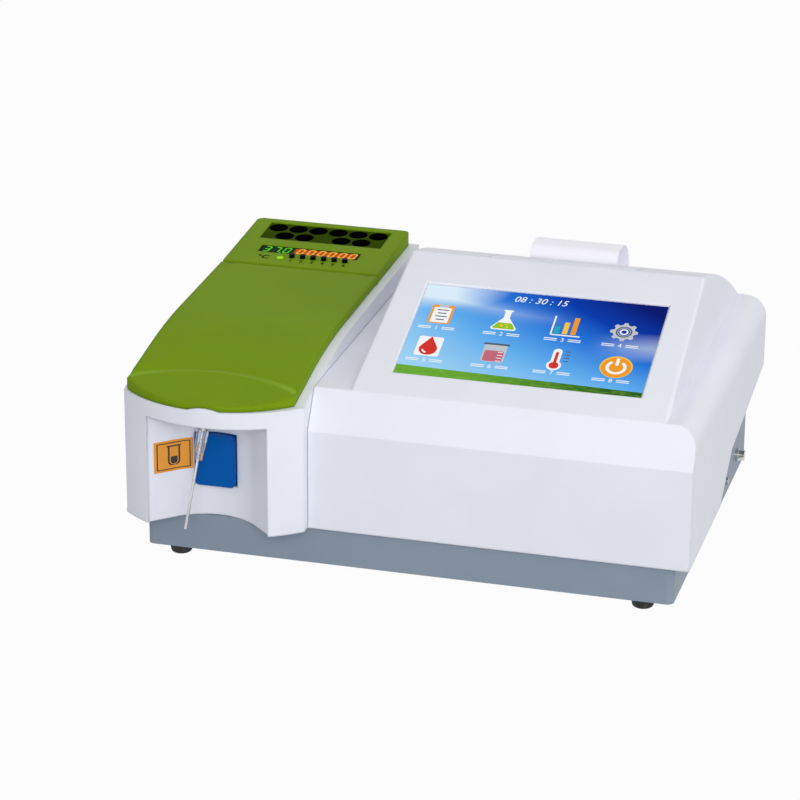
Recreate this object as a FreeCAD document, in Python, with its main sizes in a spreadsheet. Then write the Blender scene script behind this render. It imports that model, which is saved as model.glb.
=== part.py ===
import FreeCAD, Part
import math
import os
import re
import Sketcher
from FreeCAD import Placement, Rotation, Vector

# Benchtop chemistry analyzer, millimetres. +X to the right, +Y to the rear, +Z up.
# The origin is on the table, below the centre of the object's box.

# Driving sizes. Heights whose names end in top or level are measured from the table.
SIZES = {
    # casing as a whole
    "case_width": 358.0,
    "case_depth": 290.0,
    "shell_wall": 2.8,
    "part_gap": 0.3,
    "run_gap": 0.05,
    "overrun": 20.0,
    # base tray and feet
    "foot_height": 6.1,
    "foot_radius": 7.5,
    "foot_taper": 1.0,
    "foot_round": 2.0,
    "foot_side_inset": 20.0,
    "foot_front_inset": 7.9,
    "foot_rear_inset": 19.0,
    "foot_screw_radius": 3.0,
    "foot_screw_drive": 1.4,
    "foot_screw_sink": 2.6,
    "foot_screw_lift": 0.8,
    "tray_inset": 9.7,
    "tray_front_inset": 3.3,
    "tray_rear_inset": 6.1,
    "tray_sheet": 1.6,
    "tray_corner": 4.5,
    "tray_overlap": 5.0,
    "lip_thick": 1.5,
    "vent_width": 40.0,
    "vent_slot": 3.2,
    "vent_pitch": 8.0,
    # white casing with the screen
    "skirt_height": 24.7,
    "ramp_back": 154.0,
    "ramp_run": 36.0,
    "ramp_rise": 24.7,
    "tail_rise": 16.5,
    "front_setback": 30.1,
    "front_height": 64.8,
    "band_depth": 14.7,
    "band_rise": 24.15,
    "roll_radius": 14.0,
    "slope_run": 132.0,
    "slope_rise": 48.65,
    "block_left_margin": 22.7,
    "block_margin": 19.4,
    "block_draft": 3.2,
    "block_edge": 2.4,
    "rear_bow": 6.4,
    "rear_foot_rise": 1.3,
    "wire_window_width": 60.0,
    "wire_window_height": 34.0,
    "wire_window_level": 56.0,
    # incubator casing, on the left
    "module_width": 117.0,
    "nose_bow": 23.4,
    "module_corner": 3.0,
    "rim_front": 113.3,
    "rim_knee": 123.6,
    "rim_brow": 129.5,
    "rim_rear": 134.0,
    "rim_bow": 0.9,
    "rim_step_back": 25.0,
    "rim_ledge_left": 7.0,
    "rim_ledge_right": 11.0,
    "rim_ledge_front": 9.0,
    "recess_half": 38.9,
    "recess_rim_back": 12.0,
    "recess_flare_share": 0.3,
    "recess_back": 34.6,
    "recess_arc_half": 27.0,
    "recess_arc_drop": 11.5,
    "brow_drop": 10.8,
    # green lid and cover
    "lid_left_rim": 2.35,
    "lid_right_rim": 6.15,
    "lid_nose_inset": 0.5,
    "lid_nose_bow": 23.2,
    "lid_wall": 2.5,
    "nose_top": 116.6,
    "knee_top": 128.9,
    "brow_top": 134.2,
    "crease_top": 137.0,
    "cover_top": 142.5,
    "knee_bow": 0.97,
    "knee_back": 71.0,
    "brow_back": 126.0,
    "cover_length": 78.5,
    "cover_corner": 4.5,
    "scoop_radius": 600.0,
    "scoop_low_back": 47.0,
    "scoop_low_top": 123.05,
    "scoop_high_back": 123.0,
    "scoop_high_top": 134.2,
    "scoop_sag": 1.58,
    "scoop_end_back": 152.6,
    "crest_back": 43.3,
    "crest_bow": 18.0,
    "notch_width": 20.5,
    "notch_rise": 2.0,
    "notch_shift": 2.6,
    # lid hinge
    "hinge_radius": 3.0,
    "hinge_pin_radius": 1.0,
    "hinge_pin_length": 11.0,
    "hinge_ear": 4.0,
    "hinge_gap": 0.5,
    "ear_radius": 2.2,
    "ear_drop": 14.0,
    "ear_swing": 1.6,
    # inner deck
    "deck_thick": 2.5,
    "deck_clear": 0.6,
    # incubator wells
    "panel_side": 11.5,
    "panel_rear_margin": 6.0,
    "panel_sink": 0.6,
    "panel_gap": 0.2,
    "well_rim": 0.25,
    "well_wall": 0.9,
    "well_edge": 0.8,
    "well_rear_edge": 0.95,
    "well_front_edge": 1.25,
    "well_row_close": 0.7,
    "well_front_shift": 1.2,
    "well_floor": 94.0,
    "heater_bottom": 89.0,
    "heater_wall": 3.0,
    "heater_flange": 3.0,
    # display window, indicator and keys on the cover
    "window_width": 69.4,
    "window_depth": 11.2,
    "window_shift": 1.7,
    "window_share": 0.47,
    "window_sink": 0.25,
    "window_thick": 1.6,
    "key_radius": 1.8,
    "key_flange": 0.7,
    "key_flange_thick": 0.8,
    "key_proud": 2.3,
    "key_flange_gap": 0.4,
    "key_travel": 0.8,
    "key_pitch": 7.4,
    "key_share": 0.356,
    "key_shift": 7.8,
    "key_clear": 0.3,
    "led_radius": 2.3,
    "led_shift": 18.0,
    "led_share": 0.28,
    "led_proud": 0.5,
    "board_top": 129.6,
    "board_thick": 1.6,
    "board_front": 6.5,
    "board_clear": 3.5,
    "board_side": 5.75,
    "post_inset": 4.0,
    "post_edge": 3.0,
    "post_radius": 2.5,
    "switch_side": 5.0,
    # aspirate button
    "button_width": 26.2,
    "button_shift": 1.7,
    "button_height": 34.0,
    "button_level": 52.0,
    "button_proud": 5.2,
    "button_travel": 2.5,
    "button_gap": 0.6,
    "button_corner": 3.0,
    "button_wall": 2.0,
    "stem_side": 6.0,
    "switch_width": 14.0,
    "switch_depth": 12.0,
    # sipper
    "sipper_top_shift": 4.2,
    "sipper_top_back": 21.0,
    "sipper_side_lean": 7.9,
    "sipper_front_lean": 19.0,
    "sipper_drop": 69.2,
    "collar_radius": 2.6,
    "collar_length": 9.0,
    "sleeve_radius": 3.9,
    "sleeve_tip_radius": 2.7,
    "sleeve_length": 19.0,
    "sleeve_bore": 1.6,
    "needle_radius": 0.9,
    "needle_above": 16.0,
    "needle_bore": 0.4,
    # plain label
    "label_width": 20.0,
    "label_height": 20.6,
    "label_level": 62.3,
    "label_thick": 0.3,
    "label_shift": 0.8,
    # screen
    "screen_side": 21.3,
    "screen_foot": 21.7,
    "screen_head": 30.98,
    "screen_shift": 0.6,
    "glass_margin": 5.0,
    "glass_sink": 1.3,
    "glass_thick": 1.5,
    "panel_thick": 5.6,
    "screen_bevel": 1.2,
    # printer
    "door_width": 96.2,
    "printer_shift": 0.3,
    "door_shift": 3.1,
    "door_length": 42.0,
    "door_wall": 2.4,
    "door_gap": 0.4,
    "door_front": 2.4,
    "door_nose": 2.6,
    "door_pivot_drop": 3.3,
    "door_pin_radius": 1.0,
    "door_pin_length": 3.0,
    "slot_width": 4.6,
    "paper_width": 58.4,
    "paper_thick": 0.3,
    "paper_from_ridge": 47.2,
    "arch_radius": 8.5,
    "arch_level": 153.5,
    "arch_rear": 24.0,
    "paper_flat": 8.5,
    "roll_outer": 16.0,
    "roll_level": 118.0,
    "spindle_radius": 5.0,
    "platen_radius": 4.5,
    "platen_level": 139.5,
    "platen_shaft": 2.0,
    "head_depth": 6.0,
    "head_height": 7.0,
    "plate_thick": 2.0,
    "plate_space": 1.2,
    "frame_front": 22.0,
    "frame_rear": 12.0,
    "frame_floor": 97.0,
    # electronics
    "pcb_thick": 1.6,
    "pcb_right": 8.2,
    "pcb_depth": 130.0,
    "pcb_left": 8.0,
    "pcb_front": 20.0,
    "standoff_radius": 3.0,
    "standoff_height": 8.0,
    "standoff_inset": 6.0,
    "supply_width": 62.0,
    "supply_rear": 42.9,
    "supply_height": 36.0,
    "supply_right": 12.0,
    "supply_front": 30.0,
    # rear fittings
    "inlet_width": 48.0,
    "inlet_height": 27.0,
    "inlet_flange": 2.0,
    "inlet_depth": 26.0,
    "inlet_right": 64.0,
    "inlet_level": 20.0,
    "socket_width": 24.5,
    "socket_height": 17.0,
    "socket_depth": 17.0,
    "socket_shift": 8.0,
    "blade_width": 2.0,
    "blade_height": 4.0,
    "blade_pitch": 7.0,
    "blade_length": 9.0,
    "rocker_width": 12.0,
    "rocker_height": 18.0,
    "rocker_shift": 14.0,
    "rocker_rise": 1.6,
    "rocker_depth": 5.0,
    "rocker_axle": 1.2,
    "serial_width": 31.0,
    "serial_height": 12.6,
    "serial_shell_width": 17.0,
    "serial_shell_height": 8.4,
    "serial_proud": 4.5,
    "serial_right": 168.0,
    "port_level": 30.0,
    "usb_width": 14.6,
    "usb_height": 7.2,
    "usb_wall": 0.7,
    "usb_depth": 14.0,
    "usb_right": 206.0,
    "fan_side": 50.0,
    "fan_depth": 15.0,
    "fan_right": 120.0,
    "fan_level": 14.0,
    "fan_bore": 23.5,
    "fan_hub": 9.0,
    "fan_blade_tip": 22.6,
    "fan_blade_thick": 1.4,
    "fan_strut": 3.0,
    "fan_shaft": 1.5,
    "guard_wire": 1.0,
    "guard_bar_share": 0.9,
    "guard_step": 5.2,
    "waste_right": 262.0,
    "waste_level": 44.0,
    "waste_radius": 5.0,
    "waste_barb": 3.0,
    "waste_bore": 1.4,
    "waste_length": 5.0,
    "terminal_radius": 4.2,
    "terminal_knob_share": 0.85,
    "terminal_proud": 6.0,
    "terminal_back": 40.0,
    "terminal_level": 20.5,
    "terminal_stud": 2.0,
    "side_screw_back": 75.0,
    "side_screw_level": 15.5,
    "side_screw_radius": 2.4,
    "side_screw_proud": 1.5,
    # optics
    "bench_thick": 4.0,
    "holder_gap": 1.9,
    "bench_shift": 5.0,
    "bench_depth": 64.0,
    "bench_clear": 30.75,
    "beam_level": 72.0,
    "holder_side": 24.0,
    "cell_side": 12.6,
    "cell_bore_share": 0.8,
    "cell_floor": 58.0,
    "beam_radius": 3.0,
    "flow_cell_side": 12.2,
    "flow_cell_height": 44.0,
    "lamp_house_width": 30.0,
    "lamp_house_depth": 34.0,
    "lamp_wall": 2.5,
    "bulb_radius": 5.5,
    "bulb_height": 16.0,
    "lamp_base_radius": 7.0,
    "lens_radius": 9.0,
    "lens_thick": 4.0,
    "wheel_radius": 27.0,
    "wheel_thick": 3.0,
    "filter_orbit": 20.0,
    "filter_radius": 4.5,
    "filter_count": 8.0,
    "wheel_shaft": 2.0,
    "bracket_thick": 3.0,
    "wheel_space": 1.2,
    "motor_radius": 14.0,
    "motor_length": 14.0,
    "detector_side": 11.0,
    "detector_depth": 12.0,
    # peristaltic pump
    "pump_width": 44.0,
    "pump_height": 46.0,
    "pump_depth": 18.0,
    "pump_back": 40.0,
    "pump_left": 30.0,
    "pump_level": 30.0,
    "pump_track": 17.0,
    "pump_motor_radius": 14.0,
    "pump_motor_length": 26.0,
    "pump_shaft": 2.5,
    "pump_roller": 3.5,
    "pump_orbit": 9.8,
    "pump_roller_count": 3.0,
    "pump_rotor_thick": 8.0,
    "pump_tube": 1.6,
}

# How many there are of each repeated thing, and the pitch of the fan's blades.
KEY_COUNT = 6
REAR_WELLS = 6
SLOT_COUNT = 7
GUARD_RINGS = 5
BLADE_COUNT = 7
BLADE_DEGREES = 35

# The chips: place across and along the main board, and length beside their width.
CHIP_SHARES = ((0.25, 0.3, 2.0), (0.55, 0.35, 1.4), (0.8, 0.7, 1.2), (0.3, 0.75, 1.6))

# Places and sizes that follow from the driving ones.
PLACES = {
    "case_half": "case_width / 2",
    "nose_y": "-case_depth / 2",
    "rear_plane": "case_depth / 2",
    "front_y": "nose_y + front_setback",
    "skirt_z": "foot_height + skirt_height",
    "band_z": "skirt_z + front_height",
    "slope_y": "front_y + band_depth",
    "shoulder_z": "band_z + band_rise",
    "ridge_y": "slope_y + slope_run",
    "ridge_z": "shoulder_z + slope_rise",
    "slope_length": "sqrt(slope_run ^ 2 + slope_rise ^ 2)",
    "ramp_foot_y": "rear_plane - ramp_back",
    "ramp_head_y": "ramp_foot_y + ramp_run",
    "ramp_head_z": "skirt_z + ramp_rise",
    "tail_z": "ramp_head_z + tail_rise",
    "rear_foot_z": "shoulder_z + rear_foot_rise",
    "rear_mid_y": "(ridge_y + rear_plane) / 2",
    "rear_mid_z": "(ridge_z + rear_foot_z) / 2 + rear_bow",
    "block_right": "case_half - block_margin",
    "block_left": "main_left + block_left_margin",
    "block_x": "(block_left + block_right) / 2",
    "screen_width": "block_right - block_left - 2 * screen_side",
    "screen_height": "slope_length - screen_foot - screen_head",
    "tray_half": "case_half - tray_inset",
    "tray_front": "front_y + tray_front_inset",
    "tray_rear": "rear_plane - tray_rear_inset",
    "tray_floor": "foot_height + tray_sheet",
    "lip_half": "case_half - shell_wall",
    "lip_front": "front_y + shell_wall",
    "lip_rear": "rear_plane - shell_wall",
    "module_left": "-case_half",
    "module_right": "module_left + module_width",
    "module_x": "module_left + module_width / 2",
    "main_left": "module_right + part_gap",
    "knee_y": "nose_y + knee_back",
    "brow_y": "nose_y + brow_back",
    "crease_y": "rear_plane - cover_length",
    "lid_left": "module_left + lid_left_rim",
    "lid_right": "module_right - lid_right_rim",
    "lid_x": "(lid_left + lid_right) / 2",
    "recess_top": "rim_front - brow_drop",
    "recess_y": "nose_y + recess_back",
    "deck_bottom": "recess_top + shell_wall",
    "deck_top": "deck_bottom + deck_thick",
    "cover_slope": "(cover_top - crease_top) / (rear_plane - crease_y)",
    "hinge_y": "crease_y - hinge_gap - hinge_radius",
    "hinge_z": "crease_top - hinge_radius - part_gap / 2",
    "panel_rear": "rear_plane - panel_rear_margin",
    "panel_width": "lid_right - lid_left - 2 * panel_side",
    "well_pitch": "(panel_width - 2 * (well_rim + well_edge - well_wall)) / 6",
    "well_radius": "well_pitch / 2 - well_wall",
    "well_rear_y": "panel_rear - well_radius - well_rim - well_rear_edge",
    "well_front_y": "well_rear_y - well_pitch + well_row_close",
    "well_front_half": "well_pitch - well_front_shift",
    "panel_front": "well_front_y - well_radius - well_rim - well_front_edge",
    "key_zone": "panel_front - crease_y",
    "key_y": "crease_y + key_zone * key_share",
    "key_x": "lid_x + key_shift",
    "led_x": "lid_x - led_shift",
    "led_y": "crease_y + key_zone * led_share",
    "window_y": "crease_y + key_zone * window_share",
    "window_x": "lid_x - window_shift",
    "board_low_y": "crease_y + board_front",
    "board_high_y": "panel_front - heater_flange - board_clear",
    "board_y": "(board_low_y + board_high_y) / 2",
    "board_width": "lid_right - lid_left - 2 * (lid_wall + board_side)",
    "post_half": "board_width / 2 - post_inset",
    "post_reach": "(board_high_y - board_low_y) / 2 - post_edge",
    "deck_rear": "board_high_y",
    "button_x": "module_x - button_shift",
    "button_face": "recess_y - button_proud",
    "button_back": "recess_y + shell_wall + run_gap",
    "switch_y": "button_back + button_wall + stem_side + button_travel + part_gap",
    "door_low": "ridge_y + door_front",
    "door_high": "door_low + door_length",
    "printer_x": "block_x + printer_shift",
    "door_left": "printer_x + door_shift - door_width / 2",
    "door_right": "printer_x + door_shift + door_width / 2",
    "door_pivot_y": "door_low + door_nose",
    "door_pivot_z": "ridge_z - door_pivot_drop",
    "paper_y": "ridge_y + paper_from_ridge",
    "roll_y": "paper_y - part_gap - roll_outer",
    "platen_y": "paper_y + paper_thick + part_gap + platen_radius",
    "plate_inner": "paper_width / 2 + plate_space",
    "plate_outer": "plate_inner + plate_thick",
    "bench_y": "switch_y + switch_depth + bench_clear + bench_depth / 2",
    "bench_top": "tray_floor + bench_thick",
    "wheel_z": "beam_level - filter_orbit",
    "bench_width": "lamp_wall + lamp_house_width + 3 * wheel_space + lens_thick + wheel_thick + bracket_thick"
                   " + motor_length + holder_gap + holder_side + detector_depth",
    "bench_x": "lid_x + bench_shift",
    "holder_x": "bench_x + bench_width / 2 - detector_depth - holder_side",
    "supply_x": "tray_half - supply_right - supply_width",
    "supply_y": "tray_front + supply_front",
    "supply_depth": "tray_rear - inlet_depth - supply_rear - supply_y",
    "pcb_x": "main_left + shell_wall + pcb_left",
    "pcb_width": "supply_x - pcb_right - pcb_x",
    "pcb_y": "tray_front + pcb_front",
    "pcb_z": "tray_floor + standoff_height",
    "inlet_x": "case_half - inlet_right + inlet_width / 2",
    "rocker_x": "inlet_x - inlet_width / 2 + rocker_shift",
    "rocker_y": "tray_rear + inlet_flange - rocker_depth / 2",
    "fan_x": "case_half - fan_right",
    "fan_z": "tray_floor + fan_level + fan_side / 2",
    "fan_wall": "tray_rear - tray_sheet",
    "pump_x": "module_left + pump_left + pump_width / 2",
    "pump_y": "tray_rear - pump_back",
    "pump_z": "pump_level + pump_height / 2",
}

WORD = re.compile(r"[a-z][a-z_]*")
DOC = FreeCAD.newDocument("chemistry_analyzer")
SHEET = DOC.addObject("Spreadsheet::Sheet", "Sizes")
NODES = []
# Each drawing plane: how it lies, the axis along its normal, and the normal.
PLANES = {
    "side": (Rotation(Vector(0, 1, 0), Vector(0, 0, 1), Vector(1, 0, 0), "ZXY"), "x", Vector(1, 0, 0)),
    "front": (Rotation(Vector(1, 0, 0), Vector(0, 0, 1), Vector(0, -1, 0), "ZXY"), "y", Vector(0, -1, 0)),
    "top": (Rotation(), "z", Vector(0, 0, 1)),
}
TURNS = {
    "x": Rotation(Vector(0, 0, 1), Vector(1, 0, 0)),
    "y": Rotation(Vector(0, 0, 1), Vector(0, 1, 0)),
    "z": Rotation(),
}


def fill_sheet():
    """Writes each driving size into the sheet under its name."""
    for row, (name, value) in enumerate(SIZES.items(), start=1):
        SHEET.set(f"A{row}", str(value))
        SHEET.setAlias(f"A{row}", name)
    DOC.recompute()


def formula(text):
    """Turns a sum of named sizes and places into an expression on the sheet."""
    def swap(found):
        word = found.group(0)
        if word in PLACES:
            return f"({formula(PLACES[word])})"
        return f"Sizes.{word}" if word in SIZES else word
    return WORD.sub(swap, text)


def measure(text):
    """Works out a sum of named sizes and places."""
    return float(SHEET.evalExpression(formula(text)))


def tie(thing, **sums):
    """Ties properties of a thing to the sheet; a double underline stands for a dot."""
    for path, text in sums.items():
        thing.setExpression(path.replace("__", "."), formula(text))
    return thing


def keep(thing):
    """Takes a finished piece into the assembly under its own name."""
    NODES.append(thing)
    return thing


def block(name, x, y, z):
    """A box between two planes on each axis."""
    solid = DOC.addObject("Part::Box", name)
    tie(solid, Length=f"({x[1]}) - ({x[0]})", Width=f"({y[1]}) - ({y[0]})", Height=f"({z[1]}) - ({z[0]})")
    return tie(solid, Placement__Base__x=x[0], Placement__Base__y=y[0], Placement__Base__z=z[0])


def rod(name, radius, start, length, axis="z"):
    """A round bar that starts at a point and runs along an axis."""
    solid = DOC.addObject("Part::Cylinder", name)
    solid.Placement = Placement(Vector(), TURNS[axis])
    tie(solid, Radius=radius, Height=length)
    return tie(solid, Placement__Base__x=start[0], Placement__Base__y=start[1], Placement__Base__z=start[2])


def cone(name, radii, start, length, axis="z"):
    """A tapered round bar that starts at a point and runs along an axis."""
    solid = DOC.addObject("Part::Cone", name)
    solid.Placement = Placement(Vector(), TURNS[axis])
    tie(solid, Radius1=radii[0], Radius2=radii[1], Height=length)
    return tie(solid, Placement__Base__x=start[0], Placement__Base__y=start[1], Placement__Base__z=start[2])


def pin_point(sketch, geometry, end, spot):
    """Holds one point of a sketch at its two sums from the origin."""
    for kind, text in zip(("DistanceX", "DistanceY"), spot):
        datum = Sketcher.Constraint(kind, -1, 1, geometry, end, measure(text))
        sketch.setExpression(f"Constraints[{sketch.addConstraint(datum)}]", formula(text))


def outline(name, plane, points, level="0"):
    """Draws a closed outline. A point that starts with the word arc is passed on a curve to the next."""
    turn, axis, _normal = PLANES[plane]
    sketch = DOC.addObject("Sketcher::SketchObject", name)
    sketch.Placement = Placement(Vector(), turn)
    tie(sketch, **{f"Placement__Base__{axis}": level})
    corners = [point for point in points if point[0] != "arc"]
    passes = {}
    for index, point in enumerate(points):
        if point[0] == "arc":
            passes[corners.index(points[index - 1])] = point[1:]
    spots = [Vector(measure(u), measure(v), 0) for u, v in corners]
    ends = []
    for index, spot in enumerate(spots):
        after = spots[(index + 1) % len(spots)]
        if index in passes:
            middle = Vector(*[measure(text) for text in passes[index]], 0)
            leftward = (middle - spot).cross(after - middle).z > 0
            edge = Part.ArcOfCircle(spot, middle, after) if leftward else Part.ArcOfCircle(after, middle, spot)
        else:
            edge = Part.LineSegment(spot, after)
        sketch.addGeometry(edge)
        ends.append(1 if edge.StartPoint.distanceToPoint(spot) < edge.EndPoint.distanceToPoint(spot) else 2)
    for index, corner in enumerate(corners):
        after = (index + 1) % len(corners)
        sketch.addConstraint(Sketcher.Constraint("Coincident", index, 3 - ends[index], after, ends[after]))
        pin_point(sketch, index, ends[index], corner)
    for index, spot in passes.items():
        middle = Vector(*[measure(text) for text in spot], 0)
        mark = sketch.addGeometry(Part.Point(middle), True)
        sketch.addConstraint(Sketcher.Constraint("PointOnObject", mark, 1, index))
        pin_point(sketch, mark, 1, spot)
    return sketch


def extrusion(name, flat, plane, low, high):
    """Pulls a flat outline out to a solid between two levels."""
    solid = DOC.addObject("Part::Extrusion", name)
    solid.Base = flat
    solid.DirMode = "Custom"
    solid.Dir = PLANES[plane][2]
    solid.Solid = True
    return tie(solid, LengthFwd=f"({high}) - ({low})")


def prism(name, plane, points, low, high, inset=None):
    """A solid with one outline between two levels; inset draws the outline in all round."""
    flat = outline(f"{name}_outline", plane, points, high if plane == "front" else low)
    if inset:
        smaller = DOC.addObject("Part::Offset2D", f"{name}_inset")
        smaller.Source = flat
        smaller.Join = "Intersection"
        tie(smaller, Value=f"-({inset})")
        flat = smaller
    return extrusion(name, flat, plane, low, high)


def fuse(name, *members):
    """Joins pieces that touch into one solid."""
    joined = DOC.addObject("Part::MultiFuse", name)
    joined.Shapes = list(members)
    joined.Refine = True
    return joined


def group(name, *members):
    """Holds alike pieces together as separate solids."""
    held = DOC.addObject("Part::Compound", name)
    held.Links = list(members)
    return held


def cut(name, base, *tools):
    """Takes one or more tools out of a piece."""
    taken = DOC.addObject("Part::Cut", name)
    taken.Base = base
    taken.Tool = tools[0] if len(tools) == 1 else fuse(f"{name}_tools", *tools)
    taken.Refine = True
    return taken


def common(name, *members):
    """The space that all the members share."""
    shared = DOC.addObject("Part::MultiCommon", name)
    shared.Shapes = list(members)
    shared.Refine = True
    return shared


def rounded(name, base, radius, *choices):
    """Rounds the edges whose middle lies at any of the chosen places; a place may leave axes open."""
    DOC.recompute()
    size = measure(radius)
    tolerance = measure("part_gap")
    chosen = []
    for index, edge in enumerate(base.Shape.Edges, start=1):
        middle = edge.valueAt((edge.FirstParameter + edge.LastParameter) / 2)
        for choice in choices:
            near = all(abs(getattr(middle, axis) - measure(text)) < tolerance for axis, text in choice.items())
            if near:
                chosen.append((index, size, size))
                break
    softened = DOC.addObject("Part::Fillet", name)
    softened.Base = base
    softened.Edges = chosen
    return softened


def formed(name, shape):
    """A piece whose shape is worked out from the sheet in code."""
    piece = DOC.addObject("Part::Feature", name)
    piece.Shape = shape
    piece.Placement = Placement()
    return piece


def on_slope(along, depth):
    """A point on the screen's slope: a way up from its foot, and a depth below its face."""
    y = f"slope_y + (({along}) * slope_run + ({depth}) * slope_rise) / slope_length"
    z = f"shoulder_z + (({along}) * slope_rise - ({depth}) * slope_run) / slope_length"
    return (y, z)


def cover_z(y, depth="0"):
    """The height of the cover's sloping top at a place, less a depth."""
    return f"crease_top + (({y}) - crease_y) * cover_slope - ({depth})"


def slope_slab(name, x, along, depth):
    """A flat slab that lies in the screen's slope."""
    points = [on_slope(along[0], depth[0]), on_slope(along[1], depth[0]), on_slope(along[1], depth[1]),
              on_slope(along[0], depth[1])]
    return prism(name, "side", points, x[0], x[1])


def tray_line(lift):
    """The lower edge of the casing at the sides, from rear to front, raised by a lift."""
    return [
        ("lip_rear", f"tail_z + {lift}"),
        ("ramp_head_y", f"ramp_head_z + {lift}"),
        ("ramp_foot_y", f"skirt_z + {lift}"),
        ("lip_front", f"skirt_z + {lift}"),
    ]


def base_tray():
    """The grey tray: floor, walls that rise at the rear, and a lip that carries both casings."""
    line = tray_line("tray_overlap")
    slope = "tail_rise / (lip_rear - ramp_head_y)"
    line[0] = ("tray_rear", f"{line[0][1]} - (lip_rear - tray_rear) * {slope}")
    line[3] = ("tray_front", line[3][1])
    profile = [("tray_front", "foot_height"), ("tray_rear", "foot_height")] + line
    outer = prism("tray_outer", "side", profile, "-tray_half", "tray_half")
    outer = rounded("tray_block", outer, "tray_corner", {"x": "tray_half", "y": "tray_front"},
                    {"x": "-tray_half", "y": "tray_front"})
    under = tray_line("tray_overlap - lip_thick")
    lip = prism("tray_lip", "side", tray_line("tray_overlap") + under[::-1], "-lip_half", "lip_half")
    inner = block("tray_space", ("-tray_half + tray_sheet", "tray_half - tray_sheet"),
                  ("tray_front + tray_sheet", "tray_rear - tray_sheet"), ("tray_floor", "tail_z + overrun"))
    body = cut("tray_body", fuse("tray_with_lip", outer, lip), inner, *rear_holes(), *vent_slots())
    niche = prism("tray_niche", "top", recess_plan("shell_wall + part_gap"), "skirt_z - part_gap", "recess_top")
    return keep(fuse("base_tray", cut("tray_open", body, niche, *tray_side_holes()), *standoffs()))


def tray_side_holes():
    """Holes in the tray's right wall for the terminal and the side screw."""
    start = "tray_half - tray_sheet - overrun / 4"
    stud = rod("terminal_hole", "terminal_stud + run_gap",
               (start, "rear_plane - terminal_back", "terminal_level"), "overrun", "x")
    screw = rod("side_screw_hole", "terminal_stud / 2 + run_gap",
                (start, "rear_plane - side_screw_back", "side_screw_level"), "overrun", "x")
    return [stud, screw]


def standoffs():
    """The four posts on the tray's floor that carry the main board."""
    return [rod(f"standoff_{x}_{y}", "standoff_radius",
                (f"pcb_x + standoff_inset + {x} * (pcb_width - 2 * standoff_inset)",
                 f"pcb_y + standoff_inset + {y} * (pcb_depth - 2 * standoff_inset)", "tray_floor"),
                "standoff_height")
            for x in (0, 1) for y in (0, 1)]


def rear_holes():
    """Openings in the tray's rear wall for the inlet, the ports, the fan and the waste fitting."""
    y = ("fan_wall - overrun / 4", "tray_rear + overrun / 4")
    inlet = block("inlet_hole", ("inlet_x - inlet_width + inlet_flange", "inlet_x - inlet_flange"), y,
                  ("inlet_level + inlet_flange", "inlet_level + inlet_height - inlet_flange"))
    serial_x = "case_half - serial_right"
    serial = block("serial_hole", (f"{serial_x} - serial_shell_width / 2 - part_gap",
                                   f"{serial_x} + serial_shell_width / 2 + part_gap"), y,
                   ("port_level - serial_shell_height / 2 - part_gap",
                    "port_level + serial_shell_height / 2 + part_gap"))
    usb_x = "case_half - usb_right"
    usb = block("usb_hole", (f"{usb_x} - usb_width / 2 - part_gap", f"{usb_x} + usb_width / 2 + part_gap"), y,
                ("port_level - usb_height / 2 - part_gap", "port_level + usb_height / 2 + part_gap"))
    fan = rod("fan_hole", "fan_bore", ("fan_x", y[0], "fan_z"), "overrun", "y")
    waste = rod("waste_hole", "waste_barb + run_gap", ("case_half - waste_right", y[0], "waste_level"),
                "overrun", "y")
    return [inlet, serial, usb, fan, waste]


def vent_slots():
    """Air slots in the tray's floor below the main board."""
    slots = []
    for index in range(SLOT_COUNT):
        x = f"pcb_x + pcb_width / 2 + ({index} - {(SLOT_COUNT - 1) / 2}) * vent_pitch"
        slots.append(block(f"vent_{index + 1}", (f"{x} - vent_slot / 2", f"{x} + vent_slot / 2"),
                           ("pcb_y + vent_width", "pcb_y + 2 * vent_width"),
                           ("foot_height - overrun", "tray_floor + overrun")))
    return slots


def foot_places():
    """The four feet's centres."""
    return [(f"{side} * (tray_half - foot_side_inset)", y) for side in (-1, 1)
            for y in ("tray_front + foot_front_inset", "tray_rear - foot_rear_inset")]


def rubber_feet():
    """Four tapered rubber feet, each with a hollow for its screw's head."""
    feet = []
    for index, (x, y) in enumerate(foot_places(), start=1):
        body = cone(f"foot_cone_{index}", ("foot_radius - foot_taper", "foot_radius"), (x, y, "0"),
                    "foot_height")
        body = rounded(f"foot_soft_{index}", body, "foot_round", {"z": "0"})
        hollow = rod(f"foot_hollow_{index}", "foot_screw_radius + part_gap", (x, y, "-overrun"),
                     "overrun + foot_screw_sink + foot_screw_lift")
        through = rod(f"foot_hole_{index}", "foot_screw_drive + run_gap", (x, y, "0"), "foot_height")
        feet.append(cut(f"foot_{index}", body, hollow, through))
    return keep(group("rubber_feet", *feet))


def foot_screws():
    """The screws that hold the feet to the tray."""
    screws = []
    for index, (x, y) in enumerate(foot_places(), start=1):
        head = rod(f"foot_head_{index}", "foot_screw_radius", (x, y, "foot_screw_lift"), "foot_screw_sink")
        shank = rod(f"foot_shank_{index}", "foot_screw_drive", (x, y, "foot_screw_lift"),
                    "foot_height - foot_screw_lift")
        screws.append(fuse(f"foot_screw_{index}", head, shank))
    return keep(group("foot_screws", *screws))


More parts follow.
